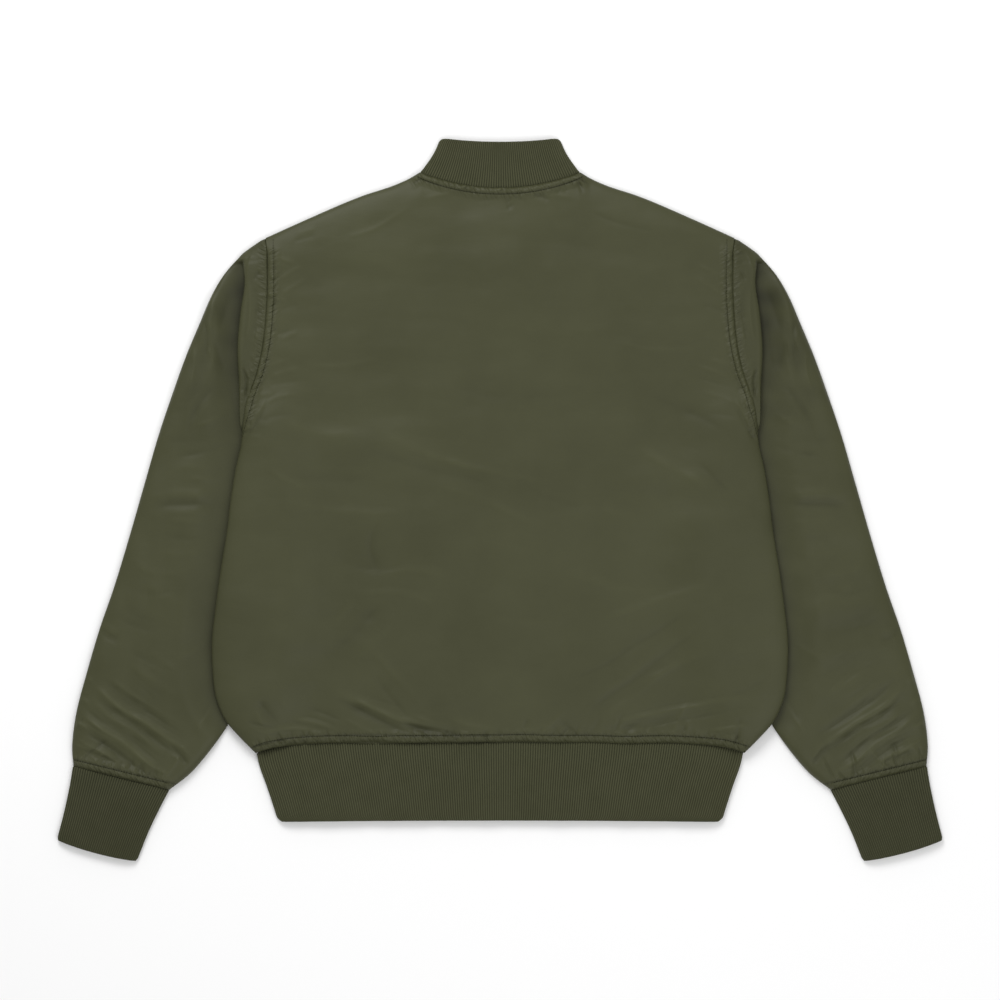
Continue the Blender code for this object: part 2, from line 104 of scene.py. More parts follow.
CHAIN_TOP = 246.0

# Outline of the body's side and armhole: height, half width, and 1 where the edge is folded.
BODY_SIDE = np.array([
    (-264.0, 256.5, 1.0),
    (-248.0, 272.5, 1.0),
    (-234.0, 285.0, 1.0),
    (-208.0, 297.5, 1.0),
    (-180.0, 301.5, 1.0),
    (-150.0, 302.5, 1.0),
    (-110.0, 298.5, 1.0),
    (-70.0, 293.0, 1.0),
    (-33.0, 287.0, 1.0),
    (0.0, 283.0, 1.0),
    (32.0, 278.0, 1.0),
    (63.0, 271.5, 1.0),
    (83.0, 270.0, 0.6),
    (106.0, 266.0, 0.1),
    (130.0, 257.0, 0.0),
    (159.0, 250.0, 0.0),
    (196.0, 246.0, 0.0),
    (235.0, 245.0, 0.0),
    (258.0, 245.5, 0.0),
])

# The shoulder's outline: distance from the middle, height.
SHOULDER = np.array([
    (84.0, 344.0),
    (94.0, 338.0),
    (107.0, 332.0),
    (145.0, 319.0),
    (204.0, 294.0),
    (246.0, 275.0),
])

# Sleeve sections from armhole to cuff: the outer fold's x and y, the inner fold's x and y, and how far
# the section bows towards the cuff.
SLEEVE_RINGS = np.array([
    (248.0, 274.3, 271.0, 72.0, 0.0),
    (266.5, 261.5, 270.5, 63.0, 0.0),
    (274.0, 254.5, 269.0, 53.0, 0.0),
    (290.0, 236.0, 262.0, 30.0, 21.0),
    (303.0, 214.0, 254.0, 4.0, 20.0),
    (315.0, 186.0, 249.0, -25.0, 18.0),
    (330.0, 150.0, 246.0, -55.0, 14.0),
    (345.0, 108.0, 245.0, -85.0, 8.0),
    (359.0, 66.0, 246.0, -112.0, 4.0),
    (374.0, 14.0, 250.0, -138.0, 2.0),
    (389.5, -40.0, 257.0, -164.0, 0.0),
    (405.0, -91.0, 265.0, -190.0, 0.0),
    (420.5, -136.0, 274.0, -214.0, 0.0),
    (434.0, -182.0, 285.5, -236.0, 0.0),
    (444.5, -222.0, 302.0, -260.0, 0.0),
    (449.0, -256.0, 324.0, -286.0, 0.0),
    (447.7, -279.5, 347.0, -304.2, 0.0),
])

# The pleat's folded edge beside the armhole: height, distance from the middle.
PLEAT_EDGE = np.array([
    (59.0, 272.5),
    (83.0, 273.0),
    (124.0, 274.0),
    (160.0, 275.5),
    (196.0, 272.5),
    (230.0, 268.0),
    (247.0, 269.0),
    (261.5, 266.5),
])
PLEAT_STEP = 5.0
PLEAT_LEAST_STEP = 1.5
PLEAT_SPAN = (62.0, 247.0)
PLEAT_TOP_SLOPE = 7.0
PLEAT_END_SLOPE = 20.0

# Cuff sections from seam to edge, with the same columns.
CUFF_RINGS = np.array([
    (448.3, -280.3, 347.6, -305.0, 0.0),
    (451.5, -300.0, 357.0, -323.0, 0.8),
    (457.5, -328.0, 369.0, -348.0, 1.7),
    (465.0, -357.0, 381.5, -379.4, 2.5),
])

# The waistband's sides: share of its height from seam to edge, half width.
HEM_SIDE = np.array([
    (0.0, 254.8),
    (0.15, 252.6),
    (0.5, 244.0),
    (1.0, 232.0),
])

# ---- Sizes of the looks ----

TURNED_EDGE = ((0.7, 0.1), (1.2, 0.8), (1.4, 3.0))
BODY_TOP = 12.6
SLEEVE_TOP = 11.8
NECK_SEAM_SHARE = 0.64
FLAP_WIDTH = 24.0
FOLD_HEIGHT = 3.1
FOLD_SPLIT = 0.45
EDGE_REACH = 32.0
UNDER_REACH = 11.0
TUCKED_REACH = 14.0
SEAM_REACH = 26.0
HEM_SEAM_SHARE = 0.62
CUFF_SEAM_SHARE = 0.76
PLEAT_UNDERCUT = 6.5
PLEAT_FLOOR = 3.8
FLAP_RISE = 1.4
STITCH_PITCH = 2.8
STITCH = 0.42
FINE_STITCH = 0.26
STITCH_SIDES = 5
STITCH_RISE = 0.12
RAY_TOP = 0.08
RAY_BOTTOM = -0.02
SEAM_STRIP = 7.5
HEM_STRIP = SEAM_STRIP + 0.6
NECK_STRIP = 7.0
OPENING_STRIP = 6.0
GROOVE_WIDTH = 1.3
HEM_LINE_END = 259.0
NECK_LINE_END = 86.0
WALE_PITCH = 2.6
WALE_POINTS = 6
WALE_HEIGHT = 1.2
KNIT_WALL = 2.4
KNIT_ROLL = 1.2
KNIT_TUCK = 2.0
KNIT_LOWEST = 0.5
HEM_TONE = 1.08
CUFF_TONE = 0.74

MIRROR = np.array((-1.0, 1.0, 1.0))
BACK_LOW = FOLD_HEIGHT + FOLD_SPLIT
# The painted shade's limits: how dark and how light the cloth's colour may be scaled.
DARKEST, LIGHTEST = 0.3, 1.2
CREST_ROUND = 0.3
CREASE_SAMPLES = 15
CREASE_REACH = 4.5
CREASE_FALL = 1.35
CREASE_SHADE = (-0.34, 0.12)
WANDER_WAVES = 9
FRONT_GROOVE = 0.7
UPPER_STOPS = (60.0, 235.0, 265.0, 272.0, 275.0)
CREASE_WIDTH = 0.66
LOWEST = 0.15
# How much painted shade and highlight each millimetre of a crease's depth and height gives.
RELIEF_TINT = 0.085
TROUGH_WIDTH = 32.0
SEAM_TUCK = 2.2
SEAM_TUCK_RINGS = 0.12
UNDERARM_TUCK = 2.6
NECK_CORNER_REACH = 20.0
TUCK_DROP = 0.3

BODY = "jacket"


# ---- Curves and small helpers ----

def through(table, at, column=1):
    """The smooth curve through a table's points: its given column at positions along its first."""
    xs = table[:, 0]
    ys = table[:, column]
    slopes = np.gradient(ys, xs)
    at = np.clip(at, xs[0], xs[-1])
    i = np.clip(np.searchsorted(xs, at) - 1, 0, len(xs) - 2)
    step = xs[i + 1] - xs[i]
    t = (at - xs[i]) / step
    start = (1 + 2 * t) * (1 - t) ** 2 * ys[i] + t * (1 - t) ** 2 * step * slopes[i]
    end = t * t * (3 - 2 * t) * ys[i + 1] + t * t * (t - 1) * step * slopes[i + 1]
    return start + end


def ease(value):
    """0 below 0, 1 above 1, and a smooth step between them."""
    t = np.clip(value, 0.0, 1.0)
    return t * t * (3 - 2 * t)


def after(value, start, length):
    """A smooth step from 0 at the start to 1, a length further on."""
    return ease((value - start) / length)


def before(value, end, length):
    """A smooth step from 1, a length before the end, to 0 at it."""
    return ease((end - value) / length)


def bell(distance, width):
    """1 at no distance, and next to nothing past twice the width."""
    return np.exp(-(distance / width) ** 2)


def mix(low, high, share):
    return low + (high - low) * share


def rounded(distance, reach, power=2.3):
    """How far a surface has risen from a folded edge: steep at the edge and level past the reach."""
    t = np.clip(distance / reach, 0.0, 1.0)
    return (1 - (1 - t) ** power) ** (1 / power)


def spaced(stops, steps):
    """Positions along a line that passes the stops, with a number of even steps between each two."""
    stretches = zip(stops, stops[1:], steps)
    parts = [np.linspace(start, end, count, endpoint=False) for start, end, count in stretches]
    return np.append(np.concatenate(parts), stops[-1])


def both_ends_dense(count, share=0.75):
    """Positions from 0 to 1, closer together near both ends."""
    t = np.linspace(0, 1, count)
    return mix(t, 0.5 - 0.5 * np.cos(math.pi * t), share)


def lengths_along(line):
    """How far each point of a line, in x and y, lies along it."""
    return np.concatenate([[0], np.cumsum(np.hypot(*np.diff(line, axis=0).T))])


def point_at(line, lengths, at):
    """The place on a line at a distance along it."""
    return np.array([np.interp(at, lengths, line[:, 0]), np.interp(at, lengths, line[:, 1])])


def hem_seam(x):
    """The height of the waistband's seam, which wavers a little."""
    waver = 0.6 * np.sin(x / 31.0 + 0.6) + 0.35 * np.sin(x / 12.0)
    return HEM_SEAM - HEM_SEAM_DROP * (x / BODY_SIDE[0, 1]) ** 8 + waver


def hem_edge(x):
    """The height of the waistband's lower edge."""
    return HEM_EDGE - HEM_EDGE_DROP * (x / HEM_SIDE[-1, 1]) ** 2


def zip_lift(x, y):
    """How far the front rises round the slider."""
    across = ease((ZIP_FLAT_WIDTH + ZIP_SLOPE - np.abs(x)) / ZIP_SLOPE)
    along = after(y, ZIP_LIFT_FROM, ZIP_LIFT_RAMP) * before(y, ZIP_LIFT_TO, ZIP_LIFT_RAMP)
    return ZIP_LIFT * across * along


def sleeve_lift(x, y):
    """How far the front rises over the sleeve that is tucked under it."""
    inner_fold = SLEEVE_RINGS[::-1, [3, 2]]
    reach = np.abs(x) - through(inner_fold, y) + LIFT_MARGIN
    return LIFT_OVER_SLEEVE * ease(1 + reach / LIFT_SLOPE) * before(y, LIFT_TOP_Y, LIFT_TOP_SLOPE)


def neck(share, front, inset=0.0):
    """The neck seam from the middle, at 0, to the fold at the shoulder, at 1, moved in by the inset."""
    if front:
        angle = share * math.pi / 2
        x = FRONT_EDGE + (NECK_POINT[0] - inset - FRONT_EDGE) * np.sin(angle)
        y = NECK_POINT[1] - (NECK_POINT[1] - inset - NECK_FRONT) * np.cos(angle)
    else:
        x = (NECK_POINT[0] - inset) * share
        y = NECK_BACK + inset + (NECK_POINT[1] - NECK_BACK) * share ** 2
    return x, y


# ---- Creases ----

def wander(x, y, seed, wavelength, reach):
    """Smooth uneven offsets of a place, which make drawn lines and creases irregular."""
    random = np.random.default_rng(seed)
    total = np.zeros(x.shape)
    for _ in range(WANDER_WAVES):
        turn = random.uniform(0, math.pi)
        length = wavelength * random.uniform(0.6, 1.8)
        phase = random.uniform(0, 2 * math.pi)
        total += np.sin((x * math.cos(turn) + y * math.sin(turn)) * 2 * math.pi / length + phase)
    return total * reach / 2.1


def crease_field(x, y, creases):
    """Heights of ridges and troughs. Each is a start, a middle, an end, a width and a height."""
    x, y = x + wander(x, y, 1, 80.0, 1.0), y + wander(x, y, 2, 80.0, 1.0)
    total = np.zeros(x.shape)
    for x0, y0, x1, y1, x2, y2, width, height in creases:
        width = width * CREASE_WIDTH
        reach = CREASE_REACH * width
        near = (x > min(x0, x1, x2) - reach) & (x < max(x0, x1, x2) + reach)
        near &= (y > min(y0, y1, y2) - reach) & (y < max(y0, y1, y2) + reach)
        if not near.any():
            continue
        t = np.linspace(0, 1, CREASE_SAMPLES)
        bend_x = 2 * x1 - (x0 + x2) / 2
        bend_y = 2 * y1 - (y0 + y2) / 2
        line_x = (1 - t) ** 2 * x0 + 2 * t * (1 - t) * bend_x + t * t * x2
        line_y = (1 - t) ** 2 * y0 + 2 * t * (1 - t) * bend_y + t * t * y2
        at_x = x[near][:, None]
        at_y = y[near][:, None]
        along_x = np.diff(line_x)[None, :]
        along_y = np.diff(line_y)[None, :]
        span = along_x ** 2 + along_y ** 2 + 1e-9
        share = ((at_x - line_x[:-1]) * along_x + (at_y - line_y[:-1]) * along_y) / span
        share = np.clip(share, 0, 1)
        gap = np.hypot(at_x - line_x[:-1] - share * along_x, at_y - line_y[:-1] - share * along_y)
        nearest = gap.argmin(axis=1)
        rows = np.arange(len(nearest))
        place = (nearest + share[rows, nearest]) / (CREASE_SAMPLES - 1)
        taper = ease(place / 0.3) * ease((1 - place) / 0.3)
        crest = np.sqrt((gap[rows, nearest] / width) ** 2 + CREST_ROUND ** 2) - CREST_ROUND
        total[near] += height * np.exp(-CREASE_FALL * crest) * taper
    return total * (1 + wander(x, y, 5, 30.0, 0.18))


def with_companions(creases, seed, least=0.85):
    """Adds a thinner crease on each side of every strong one, shorter and bent a little otherwise."""
    random = np.random.default_rng(seed)
    more = list(creases)
    for x0, y0, x1, y1, x2, y2, width, height in creases:
        if abs(height) < least:
            continue
        along = np.array((x2 - x0, y2 - y0)) / math.hypot(x2 - x0, y2 - y0)
        across = np.array((-along[1], along[0]))
        for side in (-1, 1):
            away = side * width * random.uniform(1.3, 2.2)
            start, middle, end = (
                np.array(point) + across * (away + random.normal(0, 0.3 * width)) + along * slide
                for point, slide in (
                    ((x0, y0), random.uniform(4, 16)), ((x1, y1), 0.0), ((x2, y2), -random.uniform(4, 16))
                )
            )
            more.append((*start, *middle, *end, width * random.uniform(0.4, 0.6),
                         -height * random.uniform(0.25, 0.5)))
    return more


def mirrored_creases(creases):
    return [tuple(np.array(crease) * (-1, 1, -1, 1, -1, 1, 1, 1)) for crease in creases]


def puckers(line, seed, spacing, reach, height, width=1.9, lean=0.35):
    """Short uneven ridges and troughs across a sewn line, which is an array of x and y."""
    random = np.random.default_rng(seed)
    lengths = lengths_along(line)
    creases = []
    at = spacing * random.uniform(0.2, 1.0)
    while at < lengths[-1]:
        place = point_at(line, lengths, at)
        ahead_x, ahead_y = point_at(line, lengths, at + 2) - point_at(line, lengths, at - 2)
        turn = math.atan2(ahead_y, ahead_x) + math.pi / 2 + random.normal(0, lean)
        ahead = reach[0] * random.uniform(0.4, 1.3)
        behind = reach[1] * random.uniform(0.5, 1.2)
        across = np.array((math.cos(turn), math.sin(turn)))
        bow = np.array((-across[1], across[0])) * random.normal(0, 1.2)
        middle = place + across * (ahead - behind) / 2 + bow
        creases.append((
            *(place - across * behind), *middle, *(place + across * ahead),
            width * random.uniform(0.7, 1.4), height * random.uniform(0.4, 1.3) * random.choice((-1, -1, 1)),
        ))
        at += spacing * random.uniform(0.45, 1.7)
    return creases


def undulation(x, y, seed, wavelength, height, count=26):
    """Low uneven waves over cloth that lies loose: many shallow waves in seeded directions."""
    random = np.random.default_rng(seed)
    total = np.zeros(x.shape)
    for _ in range(count):
        turn = random.normal(0.15, 0.55)
        length = wavelength * random.uniform(0.6, 1.9)
        wave_x = -math.sin(turn) * 0.6
        wave_y = math.cos(turn)
        phase = random.uniform(0, 2 * math.pi)
        total += np.sin((x * wave_x + y * wave_y) * 2 * math.pi / length + phase)
    return total * height / math.sqrt(count / 2)


# Creases of the back: start, middle and end in x and y, then width and height.
BACK_CREASES = [
    # the middle of the back
    (29, 9, 75, -5, 121, -15, 8.5, -0.80),
    (-155, 56, -70, 32, 4, 12, 7.2, -0.77),
    (-73, 20, -10, -4, 50, -31, 6.3, 0.77),
    (134, 60, 182, 34, 231, 4, 8.1, 0.77),
    (-235, 2, -160, -13, -92, -13, 6.3, 0.68),
    (-226, 28, -180, 22, -130, 24, 8.1, -0.59),
    (-126, -20, -137, -50, -122, -82, 6.3, -0.77),
    (-130, -80, -90, -74, -46, -84, 6.3, 0.68),
    (-122, -109, -148, -134, -178, -166, 10.8, -1.27),
    (60, -70, 120, -92, 190, -96, 10.8, 0.68),
    (150, 110, 195, 92, 236, 70, 8.1, -0.68),
    (-236, 88, -190, 70, -140, 74, 8.1, 0.68),
    (-60, 120, 10, 108, 90, 118, 14.4, -0.59),
    (-30, 190, 50, 176, 130, 186, 16.2, 0.59),
    (-150, 92, -80, 50, -10, 30, 9.0, 0.55),
    (20, 22, 90, -8, 160, -22, 7.0, 0.5),
    (-110, 62, -20, 30, 90, 14, 3.4, 0.6),
    (-160, -100, -110, -96, -64, -112, 3.0, 0.7),
    (-168, -62, -130, -72, -90, -70, 3.2, -0.6),
    (96, -128, 150, -112, 226, -84, 3.6, 0.8),
    (60, -196, 130, -160, 214, -104, 3.6, -0.8),
    (110, -212, 170, -180, 238, -150, 3.2, 0.7),
    (206, 40, 224, 24, 246, 2, 3.0, -0.7),
    (-246, 34, -222, 20, -196, 12, 3.0, 0.7),
    (-214, 150, -170, 140, -118, 150, 4.0, 0.6),
    (120, 170, 170, 156, 220, 164, 4.0, 0.6),
    (-160, 276, -130, 286, -88, 310, 4.0, 0.6),
    (92, 306, 126, 290, 166, 280, 4.0, -0.6),
    (-20, -120, 30, -132, 74, -128, 4.0, 0.5),
    # above the hem on the left
    (-176, -206, -127, -230, -84, -247, 5.5, -2.0),
    (-182, -196, -133, -219, -92, -233, 6.0, 1.1),
    (-104, -233, -72, -242, -38, -246, 4.4, -2.3),
    (-112, -226, -78, -236, -44, -242, 4.2, 0.84),
    (-134, -185, -114, -208, -92, -232, 3.4, -0.8),
    (-146, -149, -112, -182, -80, -221, 5.0, 0.7),
    (-254, -208, -243, -222, -229, -236, 8.0, -1.3),
    (-222, -229, -196, -234, -168, -243, 3.2, 1.0),
    (-250, -249, -223, -240, -190, -246, 3.4, 1.1),
    (-206, -216, -186, -222, -164, -232, 3.4, -0.7),
    (-268, -232, -248, -238, -226, -240, 4.0, -0.9),
    (-60, -226, -30, -236, 6, -240, 6.0, 0.7),
    # above the hem on the right
    (214, -128, 150, -180, 82, -236, 7.0, -1.1),
    (222, -118, 160, -166, 96, -216, 8.0, 0.7),
    (274, -203, 190, -219, 107, -240, 3.6, 1.0),
    (268, -214, 198, -230, 120, -246, 3.8, -0.8),
    (112, -245, 150, -237, 190, -227, 4.6, -0.8),
    (262, -238, 238, -240, 206, -246, 3.4, 0.9),
    (60, -232, 34, -240, 8, -244, 5.0, 0.5),
    (286, -180, 262, -196, 232, -206, 5.0, -0.6),
    # under the neck and by the shoulders
    (-78, 317, -62, 321, -48, 322, 2.6, 0.8),
    (-26, 314, -2, 316, 24, 314, 2.6, -0.7),
    (80, 316, 62, 320, 44, 321, 2.6, 0.7),
    (-217, 279, -204, 282, -190, 285, 4.0, 0.4),
    (-219, 271, -204, 275, -188, 279, 4.0, -0.35),
    (217, 278, 204, 281, 190, 284, 4.0, 0.35),
    (-180, 262, -120, 250, -50, 262, 20.0, 0.4),
    (50, 280, 110, 262, 170, 266, 18.0, -0.35),
]

# Creases that run from each armhole onto the back.
ARMHOLE_CREASES = [
    (234, 230, 220, 240, 206, 246, 2.6, 0.68),
    (232, 213, 218, 224, 202, 232, 2.6, 0.60),
    (235, 196, 222, 202, 210, 204, 2.8, -0.45),
    (234, 166, 223, 172, 210, 175, 2.6, 0.52),
    (242, 142, 232, 146, 220, 149, 2.6, 0.60),
    (244, 127, 226, 136, 205, 142, 2.8, 0.68),
    (247, 118, 226, 124, 204, 128, 3.0, -0.45),
    (248, 99, 233, 107, 210, 111, 2.8, 0.68),
    (273, 57, 259, 78, 246, 98, 2.4, -1.05),
    (268, 70, 256, 90, 244, 108, 2.8, 0.68),
    (250, 84, 232, 88, 208, 86, 4.5, -0.38),
]

# Creases of the sleeve's upper side.
SLEEVE_CREASES = [
    (366, -9, 332, -6, 292, -8, 5.5, -1.7),
    (372, 4, 336, 6, 298, 4, 5.5, 0.7),
    (352, -21, 326, -24, 298, -23, 3.2, 0.7),
    (356, -37, 330, -40, 302, -38, 3.6, -0.6),
    (362, -52, 335, -55, 306, -53, 3.8, 0.5),
    (345, 30, 320, 34, 292, 30, 8.0, 0.5),
    (352, 62, 330, 64, 300, 60, 9.0, -0.5),
    (420, -131, 409, -142, 395, -149, 4.0, -1.0),
    (424, -124, 413, -134, 400, -141, 4.0, 0.7),
    (300, 216, 300, 160, 316, 106, 9.0, 0.9),
    (312, 176, 316, 132, 330, 92, 10.0, -0.5),
    (288, 236, 280, 247, 270, 243, 2.6, -1.5),
    (280, 224, 286, 202, 297, 176, 10.0, -2.6),
    (300, 170, 296, 150, 290, 132, 6.0, -1.2),
    (300, 228, 302, 200, 306, 168, 6.0, 0.8),
    (374, -80, 352, -102, 322, -112, 11.0, 0.6),
    (296, 120, 318, 96, 330, 64, 4.0, -0.9),
    (284, 96, 300, 84, 322, 80, 3.6, 0.8),
    (288, 60, 310, 50, 344, 46, 3.4, -0.8),
    (282, 30, 304, 22, 340, 22, 3.2, 0.7),
    (388, -62, 366, -74, 330, -76, 3.4, 0.7),
    (396, -86, 370, -98, 338, -96, 3.4, -0.8),
    (300, -140, 318, -158, 346, -168, 3.6, 0.7),
    (404, -118, 384, -132, 356, -140, 3.4, -0.7),
    (312, 196, 308, 168, 314, 136, 3.4, -0.9),
    (324, 168, 322, 140, 330, 110, 3.6, 0.8),
    (400, -104, 372, -128, 334, -138, 10.0, -0.6),
    (330, -160, 318, -180, 309, -206, 9.0, -0.5),
    (392, -166, 366, -190, 336, -204, 8.0, 0.7),
    (431, -189, 380, -231, 319, -268, 5.4, 1.8),
    (421, -184, 376, -218, 326, -250, 5.0, -1.1),
    (424, -204, 386, -234, 332, -272, 4.6, -1.3),
    (350, -255, 336, -267, 324, -280, 4.4, -1.3),
    (438, -224, 396, -257, 343, -294, 5.0, 1.9),
    (442, -212, 398, -246, 350, -281, 4.4, -1.3),
    (440, -238, 404, -266, 356, -296, 4.2, -1.3),
    (446, -250, 424, -264, 398, -275, 3.8, 1.3),
    (440, -262, 416, -272, 392, -281, 3.0, -0.8),
    (441, -182, 434, -186, 425, -192, 3.0, 1.0),
    (446, -204, 438, -209, 428, -214, 3.0, 1.0),
    (448, -232, 440, -236, 431, -240, 3.0, 1.1),
    (448, -258, 439, -261, 428, -264, 2.8, 0.9),
    (300, -214, 312, -232, 322, -246, 4.5, 0.8),
    (296, -200, 306, -216, 316, -236, 4.5, -0.7),
]

# Creases of the strip between the armhole and the pleat.
FLAP_CREASES = [
    (246, 271, 253, 268, 262, 264, 2.2, -0.9),
    (250, 240, 253, 235, 256, 228, 2.6, -0.9),
    (262, 232, 263, 196, 268, 160, 3.0, 0.9),
    (256, 226, 255, 196, 259, 166, 2.8, -0.8),
    (274, 138, 266, 126, 268, 98, 1.8, -1.5),
    (270, 137, 262, 124, 263, 98, 2.0, 0.9),
    (254, 200, 256, 160, 262, 130, 2.6, 0.5),
    (258, 258, 262, 250, 264, 236, 2.4, 0.7),
]

# Creases that the underside shows on each front, over and beside the tucked sleeve.
FRONT_CREASES = [
    (180, -246, 150, -214, 96, -196, 6.0, 1.3),
    (232, -238, 200, -216, 168, -206, 5.0, 1.1),
    (120, -250, 100, -232, 70, -222, 4.5, 0.9),
    (60, -248, 48, -226, 30, -200, 4.0, 0.8),
    (30, 60, 90, 40, 160, 44, 10.0, 0.9),
    (40, -60, 110, -84, 180, -80, 11.0, 0.9),
    (60, 180, 110, 160, 180, 168, 10.0, 0.8),
    (230, 206, 200, 190, 160, 184, 5.0, 0.8),
    (238, 150, 206, 150, 176, 138, 5.0, 0.8),
    (240, 110, 214, 120, 186, 118, 5.0, 0.8),
    (30, -140, 80, -150, 140, -140, 9.0, 0.7),
    (24, 120, 50, 116, 90, 122, 7.0, 0.6),
]

# Creases of the sleeve's lower side.
SLEEVE_UNDER_CREASES = [
    (434, -196, 388, -228, 330, -258, 6.0, 1.3),
    (440, -232, 402, -258, 350, -284, 5.0, 1.2),
    (360, 40, 330, 24, 296, 20, 7.0, 0.9),
    (372, -30, 340, -50, 300, -56, 8.0, 0.9),
    (404, -110, 366, -136, 324, -140, 7.0, 0.9),
    (320, 150, 300, 130, 286, 120, 6.0, 0.8),
    (410, -160, 380, -180, 340, -190, 6.0, 0.8),
]


# ---- Meshes ----

def quads(rows, columns, ring):
    """Faces of a grid, rows by columns, closed round its columns where it is a ring."""
    row = np.arange(rows - 1)[:, None]
    column = np.arange(columns if ring else columns - 1)[None, :]
    after = (column + 1) % columns
    corners = (row * columns + column, row * columns + after,
               (row + 1) * columns + after, (row + 1) * columns + column)
    return np.stack([corner.ravel() for corner in corners], axis=1).tolist()


def linked(name, data):
    """A new object of the scene that holds the given data."""
    made = bpy.data.objects.new(name, data)
    bpy.context.scene.collection.objects.link(made)
    return made


def mesh_object(name, points, faces, made_of, smooth=True):
    """A mesh from points in millimetres. Nothing of it is lower than a hair above the floor."""
    mesh = bpy.data.meshes.new(name)
    points = np.array(points)
    points[:, 2] = np.maximum(points[:, 2], LOWEST)
    mesh.from_pydata((points * MM).tolist(), [], faces)
    mesh.materials.append(made_of)
    if smooth:
        mesh.shade_smooth()
    return linked(name, mesh)


def grid_object(name, points, made_of, ring):
    return mesh_object(name, points.reshape(-1, 3), quads(*points.shape[:2], ring), made_of)


def store(piece, name, values):
    """Keeps a number at each point of the piece, for its material to read."""
    kept = piece.data.attributes.new(name, "FLOAT", "POINT")
    kept.data.foreach_set("value", values.ravel().astype(np.float32))


def normals_of(grid, ring):
    """The direction that the surface faces at each point of a grid."""
    if ring:
        across = np.roll(grid, -1, axis=1) - np.roll(grid, 1, axis=1)
    else:
        across = np.gradient(grid, axis=1)
    down = np.gradient(grid, axis=0)
    normal = np.cross(across, down)
    return normal / (np.linalg.norm(normal, axis=2, keepdims=True) + 1e-12)


def turned_under(grid, tints, ring):
    """Adds a folded allowance behind the grid's rows at both ends, and behind its columns unless a ring."""
    for axis in ((0,) if ring else (0, 1)):
        lines = np.moveaxis(grid, axis, 0)
        normal = np.moveaxis(normals_of(grid, ring), axis, 0)
        tint = np.moveaxis(tints, axis, 0)
        parts = []
        for edge, inner in ((0, 1), (-1, -2)):
            inward = lines[inner] - lines[edge]
            inward = inward / (np.linalg.norm(inward, axis=1, keepdims=True) + 1e-9)
            under = [lines[edge] - normal[edge] * drop + inward * back for drop, back in TURNED_EDGE]
            parts.append(np.array(under))
        lines = np.concatenate([parts[0][::-1], lines, parts[1]])
        tint = np.pad(tint, ((len(TURNED_EDGE),) * 2, (0, 0), (0, 0)), mode="edge")
        grid = np.moveaxis(lines, 0, axis)
        tints = np.moveaxis(tint, 0, axis)
    return grid, tints


def cloth(name, points, tints, made_of, ring=False):
    """A thin shell through a grid of points, with its edges turned under.

    Its tints, at each point: painted shade and highlight, how puckered from 0 to 1, and the distances along
    and across the nearest seam.
    """
    points, tints = turned_under(points, tints, ring)
    piece = grid_object(name, points, made_of, ring)
    for number, kind in enumerate(("shade", "pucker", "along", "across")):
        store(piece, kind, tints[:, :, number])
    return piece


def settle(piece, node):
    """The piece moves with the jacket and stands for a CAD node where it has one."""
    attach(piece, BODY)
    if node:
        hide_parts(node)


# ---- Body panels ----

def body_half(front, side_y, columns_at):
    """Flat places of a half panel's grid, with each point's distances to its edges.

    Its rows are given by their height at the side, and its columns by their share of the half width.
    """
    start = FRONT_EDGE if front else 0.0
    side_top_y, side_top_x = BODY_SIDE[-1, :2]
    past_side = (side_y - side_top_y) / (SHOULDER_POINT[1] - side_top_y)
    above_side = mix(side_top_x, SLEEVE_RINGS[0, 0], past_side)
    half_width = np.where(side_y > side_top_y, above_side, through(BODY_SIDE, side_y))
    neck_share = (NECK_POINT[0] - start) / (SHOULDER_POINT[0] - start)
    in_neck = columns_at <= neck_share
    neck_x, neck_y = neck(np.clip(columns_at / neck_share, 0, 1), front)
    shoulder_x = start + columns_at * (SHOULDER_POINT[0] - start)
    top_x = np.where(in_neck, neck_x, shoulder_x)
    top_y = np.where(in_neck, neck_y, through(SHOULDER, shoulder_x))
    x = start + columns_at[None, :] * (half_width[:, None] - start)
    rise = (side_y - side_y[0]) / (side_y[-1] - side_y[0])
    bottom_y = hem_seam(x[0])
    y = bottom_y[None, :] + rise[:, None] * (top_y - bottom_y)[None, :]
    x = x + (top_x - x[-1])[None, :] * rise[:, None] ** 4
    side_gap = (1 - columns_at)[None, :] * (half_width[:, None] - start)
    top_gap = top_y[None, :] - y
    side_fold = through(BODY_SIDE, side_y, 2)[:, None] * np.ones(x.shape)
    side_fold[side_y > LIFT_TOP_Y] = 0.0
    top_fold = ease((top_x - NECK_POINT[0]) / NECK_CORNER_SLOPE)[None, :] * np.ones(x.shape)
    return x, y, side_gap, top_gap, side_fold, top_fold


def back_surface(x, y, side_gap, top_gap, side_fold, top_fold):
    """The back's height: level in the middle, falling to the folds, the seams and the neck."""
    side = mix(1.0, rounded(side_gap, EDGE_REACH), side_fold)
    top = mix(1.0, rounded(top_gap, EDGE_REACH), top_fold)
    hem = mix(HEM_SEAM_SHARE, 1.0, rounded(y - hem_seam(x), SEAM_REACH))
    at_neck = mix(NECK_SEAM_SHARE, 1.0, rounded(top_gap + 0.5, SEAM_REACH))
    at_neck = mix(at_neck, 1.0, top_fold)
    at_corner = np.exp(-((np.abs(x) - NECK_POINT[0]) ** 2 + top_gap ** 2) / NECK_CORNER_REACH ** 2)
    at_neck = at_neck * (1 - 0.5 * at_corner)
    lift = sleeve_lift(x, y) + ZIP_LIFT_BACK_SHARE * zip_lift(x, y)
    return lift + BACK_LOW + (BODY_TOP - BACK_LOW) * side * top * hem * at_neck


def armhole_share(y):
    """1 along the armhole's seam, and 0 under the arm and past the shoulder."""
    return after(y, 62.0, 30.0) * before(y, 272.0, 16.0)


def crisp_share(y):
    """How crisp the armhole's seam is: less under the arm."""
    return mix(0.25, 1.0, after(y, 120.0, 70.0))


